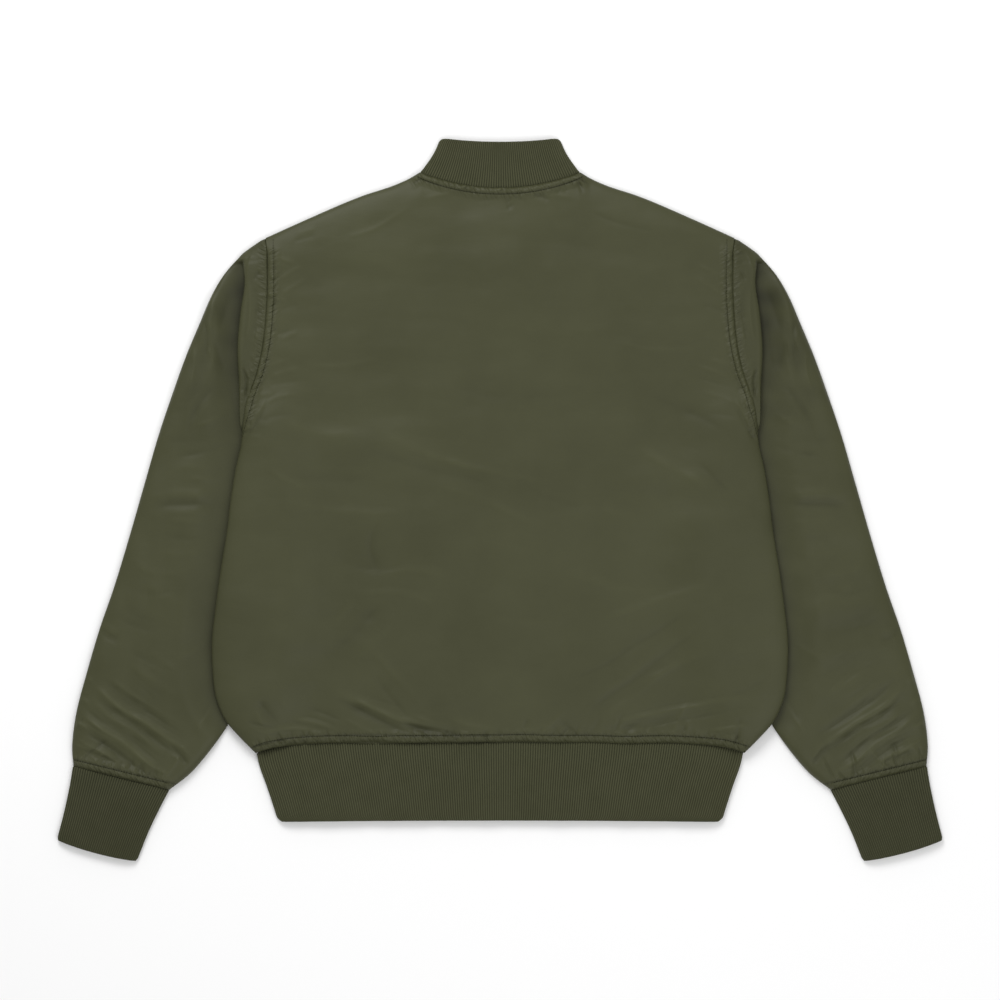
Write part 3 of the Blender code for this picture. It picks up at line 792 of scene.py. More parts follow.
def groove(gap, strip=SEAM_STRIP):
    """1 on a stitch line, which lies a strip away from its seam, and 0 away from it."""
    return bell(gap - strip, GROOVE_WIDTH)


def seam_relief(gap, strip=SEAM_STRIP, depth=0.7, at_edge=0.7):
    """A sewn edge: the seam's groove, the doubled strip beside it and the stitch line's groove."""
    on_strip = ease(gap / 2.0) * ease((strip + 1.0 - gap) / 2.0)
    return 0.45 * on_strip - depth * groove(gap, strip) - at_edge * bell(gap, 1.6)


def seam_shade(gap, strip=SEAM_STRIP, at_edge=0.25):
    """How much painted shade darkens the cloth in the stitch line's groove and at the seam."""
    return 0.34 * bell(gap - strip, 1.0) + at_edge * bell(gap, 0.9)


def near_strip(gap, strip=SEAM_STRIP):
    """Where the cloth by a seam is puckered, from 0 to 1."""
    return np.clip(1.15 * bell(gap - 0.7 * strip, 0.9 * strip) - 0.15, 0, 1)


def panel_tints(shade, x, y, side_gap, top_gap, hem_gap, top_fold):
    """The four tints of a body panel, from its painted shade without the seams at its hem and neck, to which
    it adds painted shade at those seams and their stitch lines.
    """
    shade = shade - seam_shade(hem_gap, HEM_STRIP) - seam_shade(top_gap, NECK_STRIP) * (1 - top_fold)
    at_side = near_strip(side_gap) * armhole_share(y)
    pucker = np.clip(near_strip(hem_gap) + near_strip(top_gap) * (1 - top_fold) + at_side, 0, 1)
    along = np.where(at_side > 0, y, x)
    across = np.where(at_side > 0, side_gap * np.sign(x), np.where(y > 0, -top_gap, hem_gap))
    return np.stack([np.clip(shade, DARKEST, LIGHTEST), pucker, along, across], axis=2)


def line_on_back(kind):
    """A topstitched line of the right half of the back: hem, armhole or neck, in x and y."""
    share = np.linspace(0, 1, 120)
    if kind == "hem":
        x = share * HEM_LINE_END
        return np.column_stack([x, hem_seam(x) + HEM_STRIP])
    if kind == "neck":
        x = share * NECK_LINE_END
        return np.column_stack([x, NECK_BACK - NECK_STRIP + 18.0 * (x / NECK_LINE_END) ** 2.2])
    y = mix(274.0, 66.0, share)
    return np.column_stack([through(BODY_SIDE, y) - SEAM_STRIP * after(y, 50.0, 60.0), y])


def make_back(made_of):
    columns_at = spaced((0.0, 0.80, 0.955, 0.99, 1.0), (128, 38, 10, 6))
    rows_at = spaced((-264.0, -222.0, *UPPER_STOPS), (34, 104, 84, 18, 6, 5))
    parts = body_half(False, rows_at, columns_at)
    x, y, side_gap, top_gap, side_fold, top_fold = (
        np.concatenate([(-1 if number == 0 else 1) * part[:, :0:-1], part], axis=1)
        for number, part in enumerate(parts)
    )
    z = back_surface(x, y, side_gap, top_gap, side_fold, top_fold)
    armhole = armhole_share(y)
    hem_gap = y - hem_seam(x)
    z += seam_relief(side_gap, depth=0.55, at_edge=0.2) * armhole
    z += seam_relief(hem_gap, HEM_STRIP, 1.0) * ease(side_gap / 6.0)
    z += seam_relief(top_gap, NECK_STRIP, 1.0) * (1 - top_fold)
    creases = with_companions(BACK_CREASES, 7) + ARMHOLE_CREASES + mirrored_creases(ARMHOLE_CREASES)
    for sign, seed in ((1, 11), (-1, 12)):
        hem, neck_edge, armhole_edge = (
            line_on_back(kind) * (sign, 1) for kind in ("hem", "neck", "armhole")
        )
        creases += puckers(hem, seed, 5.0, (11.0, 8.0), 1.0, width=1.5)
        creases += puckers(hem, seed + 40, 22.0, (34.0, 6.0), 0.8, width=3.0, lean=0.6)
        creases += puckers(neck_edge, seed + 10, 5.0, (-9.0, 5.0), 1.1, width=1.6)
        creases += puckers(neck_edge, seed + 50, 14.0, (-20.0, 3.0), 1.0, width=2.6, lean=0.7)
        creases += puckers(armhole_edge[20:], seed + 20, 5.0, (5.0, 7.5), 0.9, width=1.4, lean=0.5)
        creases += puckers(armhole_edge, seed + 30, 17.0, (24.0, 5.0), 0.7, width=2.8, lean=0.4)
    fade = ease(side_gap / 3.0) * mix(1.0, ease(top_gap / 8.0), top_fold)
    relief = crease_field(x, y, creases) * fade
    z += relief
    z += undulation(x, y, 3, 70.0, 0.45) * fade * ease(side_gap / 40.0)
    z += undulation(x, y, 4, 24.0, 0.10) * fade
    # Painted shade in the creases' troughs and painted highlight on their ridges.
    shade = 1 + np.clip(relief * RELIEF_TINT, *CREASE_SHADE)
    # Painted shade at the armhole's seam and stitch line, fainter than at the others.
    at_side = seam_shade(side_gap, at_edge=0.08) - 0.2 * bell(side_gap - SEAM_STRIP, 1.0)
    shade -= at_side * armhole * crisp_share(y)
    tints = panel_tints(shade, x, y, side_gap, top_gap, hem_gap, top_fold)
    return cloth("back_cloth", np.stack([x, y, z], axis=2), tints, made_of)


def front_half(seed):
    """One front, seen from below: pressed flat on the surface, with creases that rise from it."""
    columns_at = spaced((0.0, 0.04, 0.84, 0.965, 0.99, 1.0), (8, 88, 22, 7, 5))
    rows_at = spaced((-264.0, -232.0, *UPPER_STOPS), (20, 100, 80, 14, 6, 5))
    x, y, side_gap, top_gap, side_fold, top_fold = body_half(True, rows_at, columns_at)
    side = mix(1.0, rounded(side_gap, UNDER_REACH), side_fold)
    top = mix(1.0, rounded(top_gap, UNDER_REACH), top_fold)
    lift = sleeve_lift(x, y) + zip_lift(x, y)
    z = lift + (FOLD_HEIGHT - FOLD_SPLIT) * (1 - side * top)
    armhole = armhole_share(y)
    hem_gap = y - hem_seam(x)
    grooves = groove(side_gap) * armhole + groove(hem_gap, HEM_STRIP)
    grooves = grooves + groove(top_gap, NECK_STRIP) * (1 - top_fold)
    grooves = grooves + bell(x - FRONT_EDGE - OPENING_STRIP, 1.2)
    z += FRONT_GROOVE * np.clip(grooves, 0, 1)
    opening = np.column_stack([np.full(60, FRONT_EDGE + OPENING_STRIP), np.linspace(-250, 255, 60)])
    creases = FRONT_CREASES + puckers(line_on_back("hem")[8:], seed, 8.0, (14.0, 6.0), 0.8)
    creases += puckers(line_on_back("armhole"), seed + 1, 9.0, (14.0, 6.0), 0.6, lean=0.6)
    creases += puckers(opening, seed + 2, 9.0, (5.0, 9.0), 0.45)
    relief = np.abs(crease_field(x, y, with_companions(creases, seed)))
    relief = relief * ease(side_gap / 5.0) * mix(1.0, ease(top_gap / 8.0), top_fold)
    z += relief
    z += np.clip(undulation(x, y, seed, 80.0, 0.5), 0, None) * ease(side_gap / 20.0) * after(x, 12, 20.0)
    # Painted shade along the underside's creases, and at the armhole's seam and stitch line.
    shade = 1 - np.clip(relief * RELIEF_TINT, 0, 0.2)
    shade -= seam_shade(side_gap) * armhole
    return np.stack([x, y, z], axis=2), panel_tints(shade, x, y, side_gap, top_gap, hem_gap, top_fold)


def make_fronts(made_of):
    right, right_tints = front_half(51)
    left, left_tints = front_half(61)
    return (
        cloth("front_right_cloth", right[:, ::-1], right_tints[:, ::-1], made_of),
        cloth("front_left_cloth", left * MIRROR, left_tints, made_of),
    )


# ---- Sleeves ----

def section_at(table, position):
    """The columns of a table of rings at fractional ring numbers."""
    numbered = np.column_stack([np.arange(len(table)), table])
    return np.stack([through(numbered, position, column + 1) for column in range(table.shape[1])], axis=-1)


def line_at_cuff(share, shift=0.0):
    """The topstitched line above the cuff, in x and y, at shares from the outer to the inner fold."""
    outer_x, outer_y, inner_x, inner_y = SLEEVE_RINGS[-1, :4]
    return np.column_stack([mix(outer_x, inner_x, share) + shift, mix(outer_y, inner_y, share) + SEAM_STRIP])


def back_edge_height(y):
    """The back's height along the armhole, which the sleeve meets."""
    x = through(BODY_SIDE, y)
    fold = np.where(y > LIFT_TOP_Y, 0.0, through(BODY_SIDE, y, 2))
    return sleeve_lift(x, y) + BACK_LOW + (BODY_TOP - BACK_LOW) * (1 - fold)


def sleeve_grid(seed):
    """A sleeve's grid and tints: rings from armhole to cuff, each over the top and back underneath."""
    position = spaced((0.0, 0.8, 1.6, 3.0, 12.5, 16.0), (16, 20, 26, 124, 82))
    top_share = both_ends_dense(168)
    under_share = both_ends_dense(72)[::-1][1:-1]
    share = np.concatenate([top_share, under_share])[None, :]
    on_top = np.arange(share.size)[None, :] < len(top_share)
    section = section_at(SLEEVE_RINGS, position)
    outer = section[:, 0:2]
    inner = section[:, 2:4]
    length = np.linalg.norm(inner - outer, axis=1)[:, None]
    along = (inner - outer) / length
    towards_cuff = np.column_stack([-along[:, 1], along[:, 0]])
    bow = section[:, 4][:, None] * 4 * share * (1 - share)
    x, y = (outer[:, [axis]] + along[:, [axis]] * share * length + towards_cuff[:, [axis]] * bow
            for axis in (0, 1))
    from_outer = share * length
    from_inner = (1 - share) * length
    number = position[:, None] * np.ones(x.shape)

    # Near the armhole, the rings follow the seam and the pleat's edge in place of a straight section.
    seam_x = through(BODY_SIDE, y) + SEAM_GAP
    edge_x = through(PLEAT_EDGE, y)
    pleat_step = PLEAT_LEAST_STEP + PLEAT_STEP * after(y, PLEAT_EDGE[0, 0], LIFT_TOP_SLOPE)
    in_pleat = before(y, PLEAT_SPAN[1], PLEAT_TOP_SLOPE) * after(y, PLEAT_SPAN[0], PLEAT_END_SLOPE)
    in_pleat = in_pleat * on_top
    wanted = np.where(number < 1, mix(seam_x, edge_x, number), edge_x + pleat_step * (number - 1))
    undercut = PLEAT_UNDERCUT * in_pleat * np.sin(math.pi * np.clip(number - 1, 0, 1)) ** 1.3
    follow = ease(from_inner / 16.0) * ease(from_outer / 8.0) * before(number, 3.0, 1.0)
    x = mix(x, wanted, follow)
    at_seam_edge = np.clip(1 - number / SEAM_TUCK_RINGS, 0, 1)
    x = x - undercut * follow - SEAM_TUCK * at_seam_edge
    x = x - UNDERARM_TUCK * bell(from_inner, 12.0) * (1 - after(number, 1.2, 2.0))

    # The upper side starts at the back's height, drops at the pleat or under the body's edge, and rises
    # again to its crown.
    from_armhole = lengths_along((outer + inner) / 2)
    to_cuff = (from_armhole[-1] - from_armhole)[:, None]
    gather = mix(CUFF_SEAM_SHARE, 1.0, rounded(to_cuff, SEAM_REACH))
    trough_edge = np.where(y > PLEAT_EDGE[0, 0], edge_x, through(BODY_SIDE, y) + 1.0)
    from_trough = x + undercut * follow - trough_edge
    above_pleat = after(y, PLEAT_SPAN[1], PLEAT_TOP_SLOPE)
    free = np.maximum(after(from_trough, TUCK_CLEARANCE, TROUGH_WIDTH), above_pleat)
    floor = mix(TUCKED_SLEEVE, PLEAT_FLOOR, after(y, UNDERARM_Y, LIFT_TOP_SLOPE))
    crown = mix(floor, SLEEVE_TOP, free) * gather
    at_armhole = mix(TUCKED_SLEEVE, back_edge_height(y), after(y, 64.0, 16.0))
    flap = FLAP_RISE * np.sin(math.pi * np.clip(number, 0, 1)) * after(y, 100.0, 40.0)
    crown = mix(at_armhole + flap, crown, mix(after(number, 0.84, 0.5), ease(number / 2.5), above_pleat))
    bulge = rounded(from_outer, EDGE_REACH) * rounded(from_inner, TUCKED_REACH)
    top_z = FOLD_HEIGHT + (crown - FOLD_HEIGHT) * bulge

    crisp = after(y, 66.0, 26.0) * crisp_share(y)
    at_seam = bell(number * FLAP_WIDTH, 0.8) * crisp
    sewn = seam_relief(to_cuff, SEAM_STRIP, 1.0, 0.9) - 0.12 * at_seam
    cuff_edge = line_at_cuff(np.linspace(1, 0, 60))
    seam_y = np.linspace(268, 90, 80)
    seam_line = np.column_stack([through(BODY_SIDE, seam_y) + 2.0, seam_y])
    creases = with_companions(SLEEVE_CREASES, seed + 9)
    creases += puckers(cuff_edge, seed, 5.0, (12.0, 7.0), 0.9, width=1.6)
    creases += puckers(cuff_edge, seed + 1, 17.0, (30.0, 4.0), 1.0, width=2.8, lean=0.5)
    across_sleeve = np.column_stack([np.linspace(352, 425, 40), np.linspace(-165, -268, 40)])
    creases += puckers(across_sleeve, seed + 7, 6.0, (30.0, 30.0), 0.55, width=2.0, lean=0.12)
    flap_creases = FLAP_CREASES + puckers(seam_line, seed + 2, 7.0, (9.0, 1.0), 0.6, width=1.6, lean=0.6)
    wrinkled = crease_field(x, y, creases) * after(number, 1.6, 0.8)
    wrinkled = wrinkled + crease_field(x, y, flap_creases) * (1 - after(number, 0.7, 0.3))
    fade = ease(from_outer / 4.0) * ease(from_inner / 10.0) * mix(0.25, 1.0, np.maximum(free, number < 1))
    wrinkled = wrinkled * fade
    loose = undulation(x, y, seed + 3, 60.0, 0.5) * after(number, 2.0, 1.5)
    loose = loose + undulation(y, x, seed + 4, 22.0, 0.10)
    top_z = top_z + wrinkled + (sewn + loose) * fade - TUCK_DROP * at_seam_edge

    # Painted shadow: the cloth beside the pleat is painted darker, as in its shadow, deepest near the top.
    deepest = mix(0.35, 1.0, after(y, 95.0, 95.0)) * (1 - 0.5 * after(y, 215.0, 40.0))
    from_flap = np.clip(from_trough, 0, None)
    uneven = 1 + 0.35 * wander(x, y, seed + 11, 34.0, 1.0)
    in_trough = 0.60 * np.exp(-from_flap / 7.0) + 0.20 * np.exp(-from_flap / 20.0) * uneven
    in_trough = in_trough * after(number, 0.95, 0.12) * (1 - above_pleat)
    # Painted shade in the creases' troughs and painted highlight on their ridges, with the pleat's painted
    # shadow.
    shade = 1 + np.clip(wrinkled * RELIEF_TINT, *CREASE_SHADE) - in_trough * on_top * deepest
    # The upper sleeve and the flap are painted a little darker, and the cuff's seam and the armhole's seam
    # take painted shade.
    shade = shade - 0.06 * after(y, 60.0, 60.0) * after(number, 1.0, 0.5) * uneven
    shade = shade - 0.10 * after(y, 70.0, 40.0) * (1 - after(number, 0.7, 0.2)) * on_top
    shade = shade - seam_shade(to_cuff) - 0.1 * at_seam
    pucker = near_strip(to_cuff) + bell(x - seam_x, 6.0) * after(y, 104.0, 30.0)
    pucker = pucker * ease((number + 0.05) / 0.1)
    near_cuff = to_cuff * np.ones(x.shape) < 60
    along = np.where(near_cuff, from_outer, y)
    across = np.where(near_cuff, to_cuff, seam_x - x)
    tints = np.stack([np.clip(shade, DARKEST, LIGHTEST), np.clip(pucker, 0, 1), along, across], axis=2)

    # Underneath, the sleeve rests on the surface and rises to the front at the armhole.
    bulge = rounded(from_outer, UNDER_REACH) * rounded(from_inner, UNDER_REACH)
    seam_z = sleeve_lift(through(BODY_SIDE, y), y) * after(y, 70.0, 16.0) * (1 - ease(number / 1.6))
    under = np.abs(crease_field(x, y, SLEEVE_UNDER_CREASES))
    under = under + np.abs(crease_field(x, y, puckers(cuff_edge, seed + 5, 7.0, (14.0, 5.0), 0.8)))
    under = under + 0.6 * groove(to_cuff)
    under = under + np.clip(undulation(x, y, seed + 6, 70.0, 0.5), 0, None) * ease(number / 2.0)
    under_z = FOLD_HEIGHT * (1 - bulge) + (seam_z + under) * bulge
    under_z = under_z + TUCK_DROP * at_seam_edge
    z = np.where(on_top, top_z, under_z)
    return np.stack([x, y, z], axis=2), tints


def make_sleeves(made_of):
    right, right_tints = sleeve_grid(70)
    left, left_tints = sleeve_grid(80)
    left = left[:, ::-1] * MIRROR
    return (
        cloth("sleeve_right_cloth", right, right_tints, made_of, ring=True),
        cloth("sleeve_left_cloth", left, left_tints[:, ::-1], made_of, ring=True),
    )


# ---- Knitted ribs ----

def resampled(line, count, ring):
    """A line of points, spaced evenly along itself."""
    if ring:
        line = np.vstack([line, line[:1]])
    gaps = np.linalg.norm(np.diff(line, axis=0), axis=1)
    at = np.concatenate([[0], np.cumsum(gaps)])
    want = np.linspace(0, at[-1], count, endpoint=not ring)
    return np.column_stack([np.interp(want, at, line[:, column]) for column in range(3)])


def knit(name, grid, made_of, ring, inner_rows, tone=1.0):
    """A doubled knit: ribbed outside, rolled at its edge, and back up inside over some of its rows."""
    normal = normals_of(grid, ring)
    columns = grid.shape[1]
    crest = np.abs(np.sin(math.pi * np.arange(columns) / WALE_POINTS)) ** 0.8
    ribbing = WALE_HEIGHT * (crest - 0.6)[None, :, None]
    outer = grid + normal * ribbing
    down = grid[-1] - grid[-2]
    down = down / np.linalg.norm(down, axis=1, keepdims=True)
    up = grid[0] - grid[1]
    up = up / np.linalg.norm(up, axis=1, keepdims=True)
    rows = [(grid[0] + up * KNIT_TUCK - normal[0] * KNIT_TUCK * 0.8)[None], outer]
    for angle in np.radians((35.0, 75.0, 115.0, 155.0)):
        place = grid[-1] - normal[-1] * KNIT_ROLL * (1 - math.cos(angle))
        place = place + down * KNIT_ROLL * math.sin(angle)
        place = place + normal[-1] * ribbing[0] * 0.8 * math.cos(angle)
        rows.append(place[None])
    inside = grid[::-1][:inner_rows] - normal[::-1][:inner_rows] * KNIT_WALL
    rows.append(inside - normal[::-1][:inner_rows] * ribbing * 0.6)
    points = np.concatenate(rows)
    piece = grid_object(name, points, made_of, ring)
    # The crest number, times the tone, drives the painted shade between the wales in the material; the tone
    # also sets how dark the whole knit is.
    store(piece, "crest", np.tile(crest * tone, len(points)))
    return piece


def knit_grid(lines, ring):
    """Rows of points with a whole number of wales, evenly spaced along the longest line."""
    longest = max(np.linalg.norm(np.diff(line, axis=0), axis=1).sum() for line in lines)
    count = int(round(longest / WALE_PITCH)) * WALE_POINTS + (0 if ring else 1)
    return np.array([resampled(line, count, ring) for line in lines])


def hem_section(share):
    """The waistband's section at a share of its height: under, round the fold, over the back and under."""
    radius = RIB_FOLD / 2
    flat_seam = HEM_SIDE[0, 1] - radius
    corner = 4.0 * after(share, 0.9, 0.1) ** 2
    flat = through(HEM_SIDE, share) - radius - corner
    turn = np.radians(np.linspace(0, 180, 13))
    over = np.linspace(1, -1, 161)[1:-1]
    under = np.linspace(FRONT_EDGE + SEAM_GAP, flat_seam, 81)[:-1] / flat_seam

    def spread(at):
        return at * flat_seam + (flat - flat_seam) * at * np.abs(at) ** 1.6

    fold_x = flat + radius * np.sin(turn)
    fold_z = radius * (1 - np.cos(turn))
    x = np.concatenate([spread(under), fold_x, spread(over), -fold_x[::-1], -spread(under)[::-1]])
    over_z = mix(RIB_FOLD, RIB_LOFT + 0.6, rounded((1 - np.abs(over)) * flat, EDGE_REACH))
    wave = 0.35 * np.sin(over * 19.0 + 1.0 + 2.2 * share) + 0.25 * np.sin(over * 43.0 - 2.5 * share)
    over_z = over_z + wave * ease((1 - np.abs(over)) / 0.1) * mix(0.5, 1.0, share)
    over_z = over_z - (0.8 + 1.2 * ease((np.abs(over) - 0.75) / 0.25)) * (1 - share) ** 3
    lowest = np.full(len(under), KNIT_LOWEST)
    z = np.maximum(np.concatenate([lowest, fold_z, over_z, fold_z[::-1], lowest]), KNIT_LOWEST)
    y = mix(hem_seam(x) - SEAM_GAP, hem_edge(x), share)
    return np.column_stack([x, y, z])


def make_hem(made_of):
    shares = spaced((0.0, 0.12, 0.88, 0.985), (3, 9, 4))
    grid = knit_grid([hem_section(share) for share in shares], False)
    return knit("hem_knit", grid, made_of, False, 5, HEM_TONE)


def cuff_section(section, share):
    """The cuff's line all round, from its ring's numbers, at a share of its height."""
    outer = section[0:2]
    inner = section[2:4]
    length = np.linalg.norm(inner - outer)
    along = (inner - outer) / length
    towards_cuff = np.array((-along[1], along[0]))
    radius = RIB_FOLD / 2
    at = both_ends_dense(40)
    corner = 1.3 * after(share, 0.95, 0.05) ** 2
    distance = at * length
    top_z = radius + (RIB_LOFT + 0.2 - radius) * rounded(distance, 22.0) * rounded(length - distance, 22.0)
    top_z = np.where((at == 0) | (at == 1), radius, top_z)
    low_distance = at[::-1][1:-1] * length
    low_z = radius * (1 - rounded(low_distance, 7.0) * rounded(length - low_distance, 7.0)) + KNIT_LOWEST
    distance = np.concatenate([distance, low_distance])
    distance = corner + distance * (length - 2 * corner) / length
    bow = section[4] * 4 * distance / length * (1 - distance / length)
    flat = outer + along * distance[:, None] + towards_cuff * bow[:, None]
    return np.column_stack([flat, np.concatenate([top_z, low_z])])


def make_cuffs(made_of):
    position = spaced((0.0, 0.35, 2.6, 2.97), (3, 11, 4))
    sections = section_at(CUFF_RINGS, position)
    lines = [cuff_section(section, at / (len(CUFF_RINGS) - 1)) for section, at in zip(sections, position)]
    grid = knit_grid(lines, True)
    return (
        knit("cuff_right_knit", grid, made_of, True, 6, CUFF_TONE),
        knit("cuff_left_knit", grid[:, ::-1] * MIRROR, made_of, True, 6, CUFF_TONE),
    )


def collar_section(share):
    """A line round the collar's half at a share of its height: under it to the side fold, then over."""
    radius = RIB_FOLD / 2
    front = np.linspace(0, 1, 41)
    seam_x, seam_y = neck(front, True, NECK_SEAM_GAP)
    edge_x = COLLAR_FRONT[0] + (COLLAR_CORNER[0] - COLLAR_FRONT[0]) * np.sin(front * math.pi / 2)
    edge_y = COLLAR_CORNER[1] - (COLLAR_CORNER[1] - COLLAR_FRONT[1]) * np.cos(front * math.pi / 2)
    under = np.column_stack([mix(seam_x, edge_x, share), mix(seam_y, edge_y, share)])
    back = np.linspace(1, 0, 41)
    seam_x, seam_y = neck(back, False, NECK_SEAM_GAP)
    edge_x = COLLAR_CORNER[0] * back
    edge_y = COLLAR_BACK + (COLLAR_CORNER[1] - COLLAR_BACK) * back ** 2
    over = np.column_stack([mix(seam_x, edge_x, share), mix(seam_y, edge_y, share)])

    hollow = COLLAR_SIDE_HOLLOW * 4 * share * (1 - share)
    fold_out = np.array((1.0, 0.0))
    inset = radius + hollow + COLLAR_CORNER_ROUND * after(share, 0.86, 0.14) ** 2
    corner = under[-1] - fold_out * inset
    under = under - fold_out * inset * front[:, None] ** 3
    over = over - fold_out * inset * back[:, None] ** 3
    turn = np.radians(np.linspace(0, 180, 11)[1:-1])
    fold = corner[None, :] + fold_out[None, :] * radius * np.sin(turn)[:, None]
    under_z = np.maximum(zip_lift(under[:, 0], under[:, 1]), KNIT_LOWEST)
    fold_z = np.maximum(radius * (1 - np.cos(turn)), KNIT_LOWEST)
    crown = mix(COLLAR_SEAM_LOFT + 1.2, RIB_LOFT + 0.6, share)
    over_z = mix(RIB_FOLD, crown, rounded(1 - back, COLLAR_FOLD_SHARE))
    z = np.concatenate([under_z, fold_z, over_z])
    return np.column_stack([np.concatenate([under, fold, over]), z])


def make_collar(made_of):
    lines = []
    for share in spaced((0.0, 0.15, 0.85, 0.975), (3, 9, 4)):
        half = collar_section(share)
        other = half[-2::-1] * MIRROR
        lines.append(np.concatenate([half, other]))
    grid = knit_grid(lines, False)
    return knit("collar_knit", grid[:, ::-1], made_of, False, len(lines))


# ---- Stitches ----

def tube_faces(first, count, levels, flipped):
    """Faces of a closed tube of levels, each a ring of count points, numbered from the first point."""
    faces = []
    for level in range(levels - 1):
        for at in range(count):
            a = first + level * count + at
            b = first + level * count + (at + 1) % count
            faces.append((a, b, b + count, a + count))
    faces.append(tuple(range(first, first + count))[::-1])
    last = first + (levels - 1) * count
    faces.append(tuple(range(last, last + count)))
    return [face[::-1] for face in faces] if flipped else faces


def bvh_of(piece):
    """The piece as a tree that rays can be cast on."""
    mesh = piece.data
    points = [vertex.co for vertex in mesh.vertices]
    return BVHTree.FromPolygons(points, [tuple(face.vertices) for face in mesh.polygons])


def stitches(name, lines, made_of):
    """One mesh of small stitches along lines: (tree, points in x and y, from above or below, radius)."""
    # Along each stitch: a distance from its middle, and its thickness there as a share of the radius.
    stations = ((-1.25, 0.25), (-0.75, 0.95), (0.0, 1.1), (0.75, 0.95), (1.25, 0.25))
    points = []
    faces = []
    for tree, line, above, radius in lines:
        lengths = lengths_along(line)
        for place in np.arange(STITCH_PITCH / 2, lengths[-1], STITCH_PITCH):
            centre = point_at(line, lengths, place)
            along = point_at(line, lengths, place + 1) - point_at(line, lengths, place - 1)
            along = along / (np.linalg.norm(along) + 1e-9)
            from_z = RAY_TOP if above else RAY_BOTTOM
            hit = tree.ray_cast(Vector((*(centre * MM), from_z)), Vector((0, 0, -1 if above else 1)))
            if hit[0] is None:
                continue
            up = hit[1] if (hit[1].z > 0) == above else -hit[1]
            run = Vector((*along, 0.0))
            run = (run - up * run.dot(up)).normalized()
            side = up.cross(run)
            middle = hit[0] + up * (STITCH_RISE * MM)
            first = len(points)
            for distance, width in stations:
                for turn in range(STITCH_SIDES):
                    angle = 2 * math.pi * turn / STITCH_SIDES
                    out = side * math.cos(angle) * radius * width
                    out = out + up * math.sin(angle) * radius * 0.7 * width
                    points.append(tuple((middle + run * (distance * MM) + out * MM) / MM))
            faces += tube_faces(first, STITCH_SIDES, len(stations), False)
    return mesh_object(name, points, faces, made_of)


# ---- Zip ----

def make_tapes(made_of):
    """The two woven tapes, with a fine cord along the teeth."""
    pieces = []
    y = np.linspace(HEM_EDGE + 1.0, NECK_FRONT - 0.5, 260)
    x = np.linspace(TAPE_INNER, FRONT_EDGE - SEAM_GAP, 6)
    grid_x, grid_y = np.meshgrid(x, y)
    cord = 0.25 * bell(grid_x - TAPE_INNER - 0.6, 0.5)
    z = zip_lift(grid_x, grid_y) + TAPE_HEIGHT - cord
    grid = np.stack([grid_x, grid_y, z], axis=2)
    for name, points in (("right", grid[:, ::-1]), ("left", grid * MIRROR)):
        piece = grid_object(f"zip_tape_{name}_woven", points, made_of, False)
        solid = piece.modifiers.new("Wall", "SOLIDIFY")
        solid.thickness = TAPE_WALL * MM
        solid.offset = -1.0
        pieces.append(piece)
    return pieces


def make_teeth(made_of):
    """Two rows of interlocking teeth, as one mesh, each tooth a bevelled block with a narrower head."""
    pitch = 3.0
    neck_x = 1.2
    outline = ((CHAIN_HALF_WIDTH, 0.62), (neck_x, 0.62), (0.5, 0.5), (-0.35, 0.72), (-0.75, 0.4))
    levels = ((0.0, 0.22), (0.3, 0.0), (CHAIN_WALL - 0.3, 0.0), (CHAIN_WALL, 0.22))
    points = []
    faces = []
    for side, offset in ((1, 0.0), (-1, pitch / 2)):
        for centre in np.arange(HEM_EDGE + 4.8 + offset, CHAIN_TOP - 0.8, pitch):
            base = zip_lift(0.0, centre) + CHAIN_HEIGHT
            rim = [(x, half) for x, half in outline] + [(x, -half) for x, half in outline[::-1]]
            first = len(points)
            for height, inset in levels:
                shrink = 1 - inset / neck_x
                for x, half in rim:
                    x = side * (neck_x + (x - neck_x) * shrink)
                    points.append((x, centre + half * shrink, base + height))
            faces += tube_faces(first, len(rim), len(levels), side > 0)
    return mesh_object("zip_teeth", points, faces, made_of, smooth=False)


# ---- Materials ----

def new_material(name, **settings):
    """A material with its shader's own inputs set. A name has _ where the input's has a space."""
    made = bpy.data.materials.new(name)
    made.use_nodes = True
    shader = made.node_tree.nodes["Principled BSDF"]
    for key, value in settings.items():
        shader.inputs[key.replace("_", " ")].default_value = value
    return made, shader


def add_node(made, kind, **settings):
    """A node with the given inputs or properties."""
    node = made.node_tree.nodes.new(kind)
    for key, value in settings.items():
        if key in node.inputs:
            node.inputs[key].default_value = value
        else:
            setattr(node, key, value)
    return node


def link(made, from_socket, to_socket):
    made.node_tree.links.new(from_socket, to_socket)


def attribute(made, name):
    """The number that the mesh keeps at each point under a name."""
    return add_node(made, "ShaderNodeAttribute", attribute_name=name).outputs["Fac"]


def maths(made, operation, *values):
    """The result of a sum over numbers and sockets."""
    node = add_node(made, "ShaderNodeMath", operation=operation)
    for socket, value in zip(node.inputs, values):
        if isinstance(value, float):
            socket.default_value = value
        else:
            link(made, value, socket)
    return node.outputs[0]


def texture(made, kind, stretch=None, **settings):
    """A texture's value over the object's own coordinates, which may be stretched."""
    place = add_node(made, "ShaderNodeTexCoord").outputs["Object"]
    if stretch:
        mapping = add_node(made, "ShaderNodeMapping", Scale=stretch)
        link(made, place, mapping.inputs["Vector"])
        place = mapping.outputs["Vector"]
    node = add_node(made, kind, **settings)
    link(made, place, node.inputs["Vector"])
    return node.outputs["Fac"]


def ramp(made, value, low, high, dark, light):
    """A colour that is dark up to the low value and light from the high one."""
    node = add_node(made, "ShaderNodeValToRGB")
    for element, position, colour in zip(node.color_ramp.elements, (low, high), (dark, light)):
        element.position = position
        element.color = (*colour, 1.0)
    link(made, value, node.inputs["Fac"])
    return node.outputs["Color"]


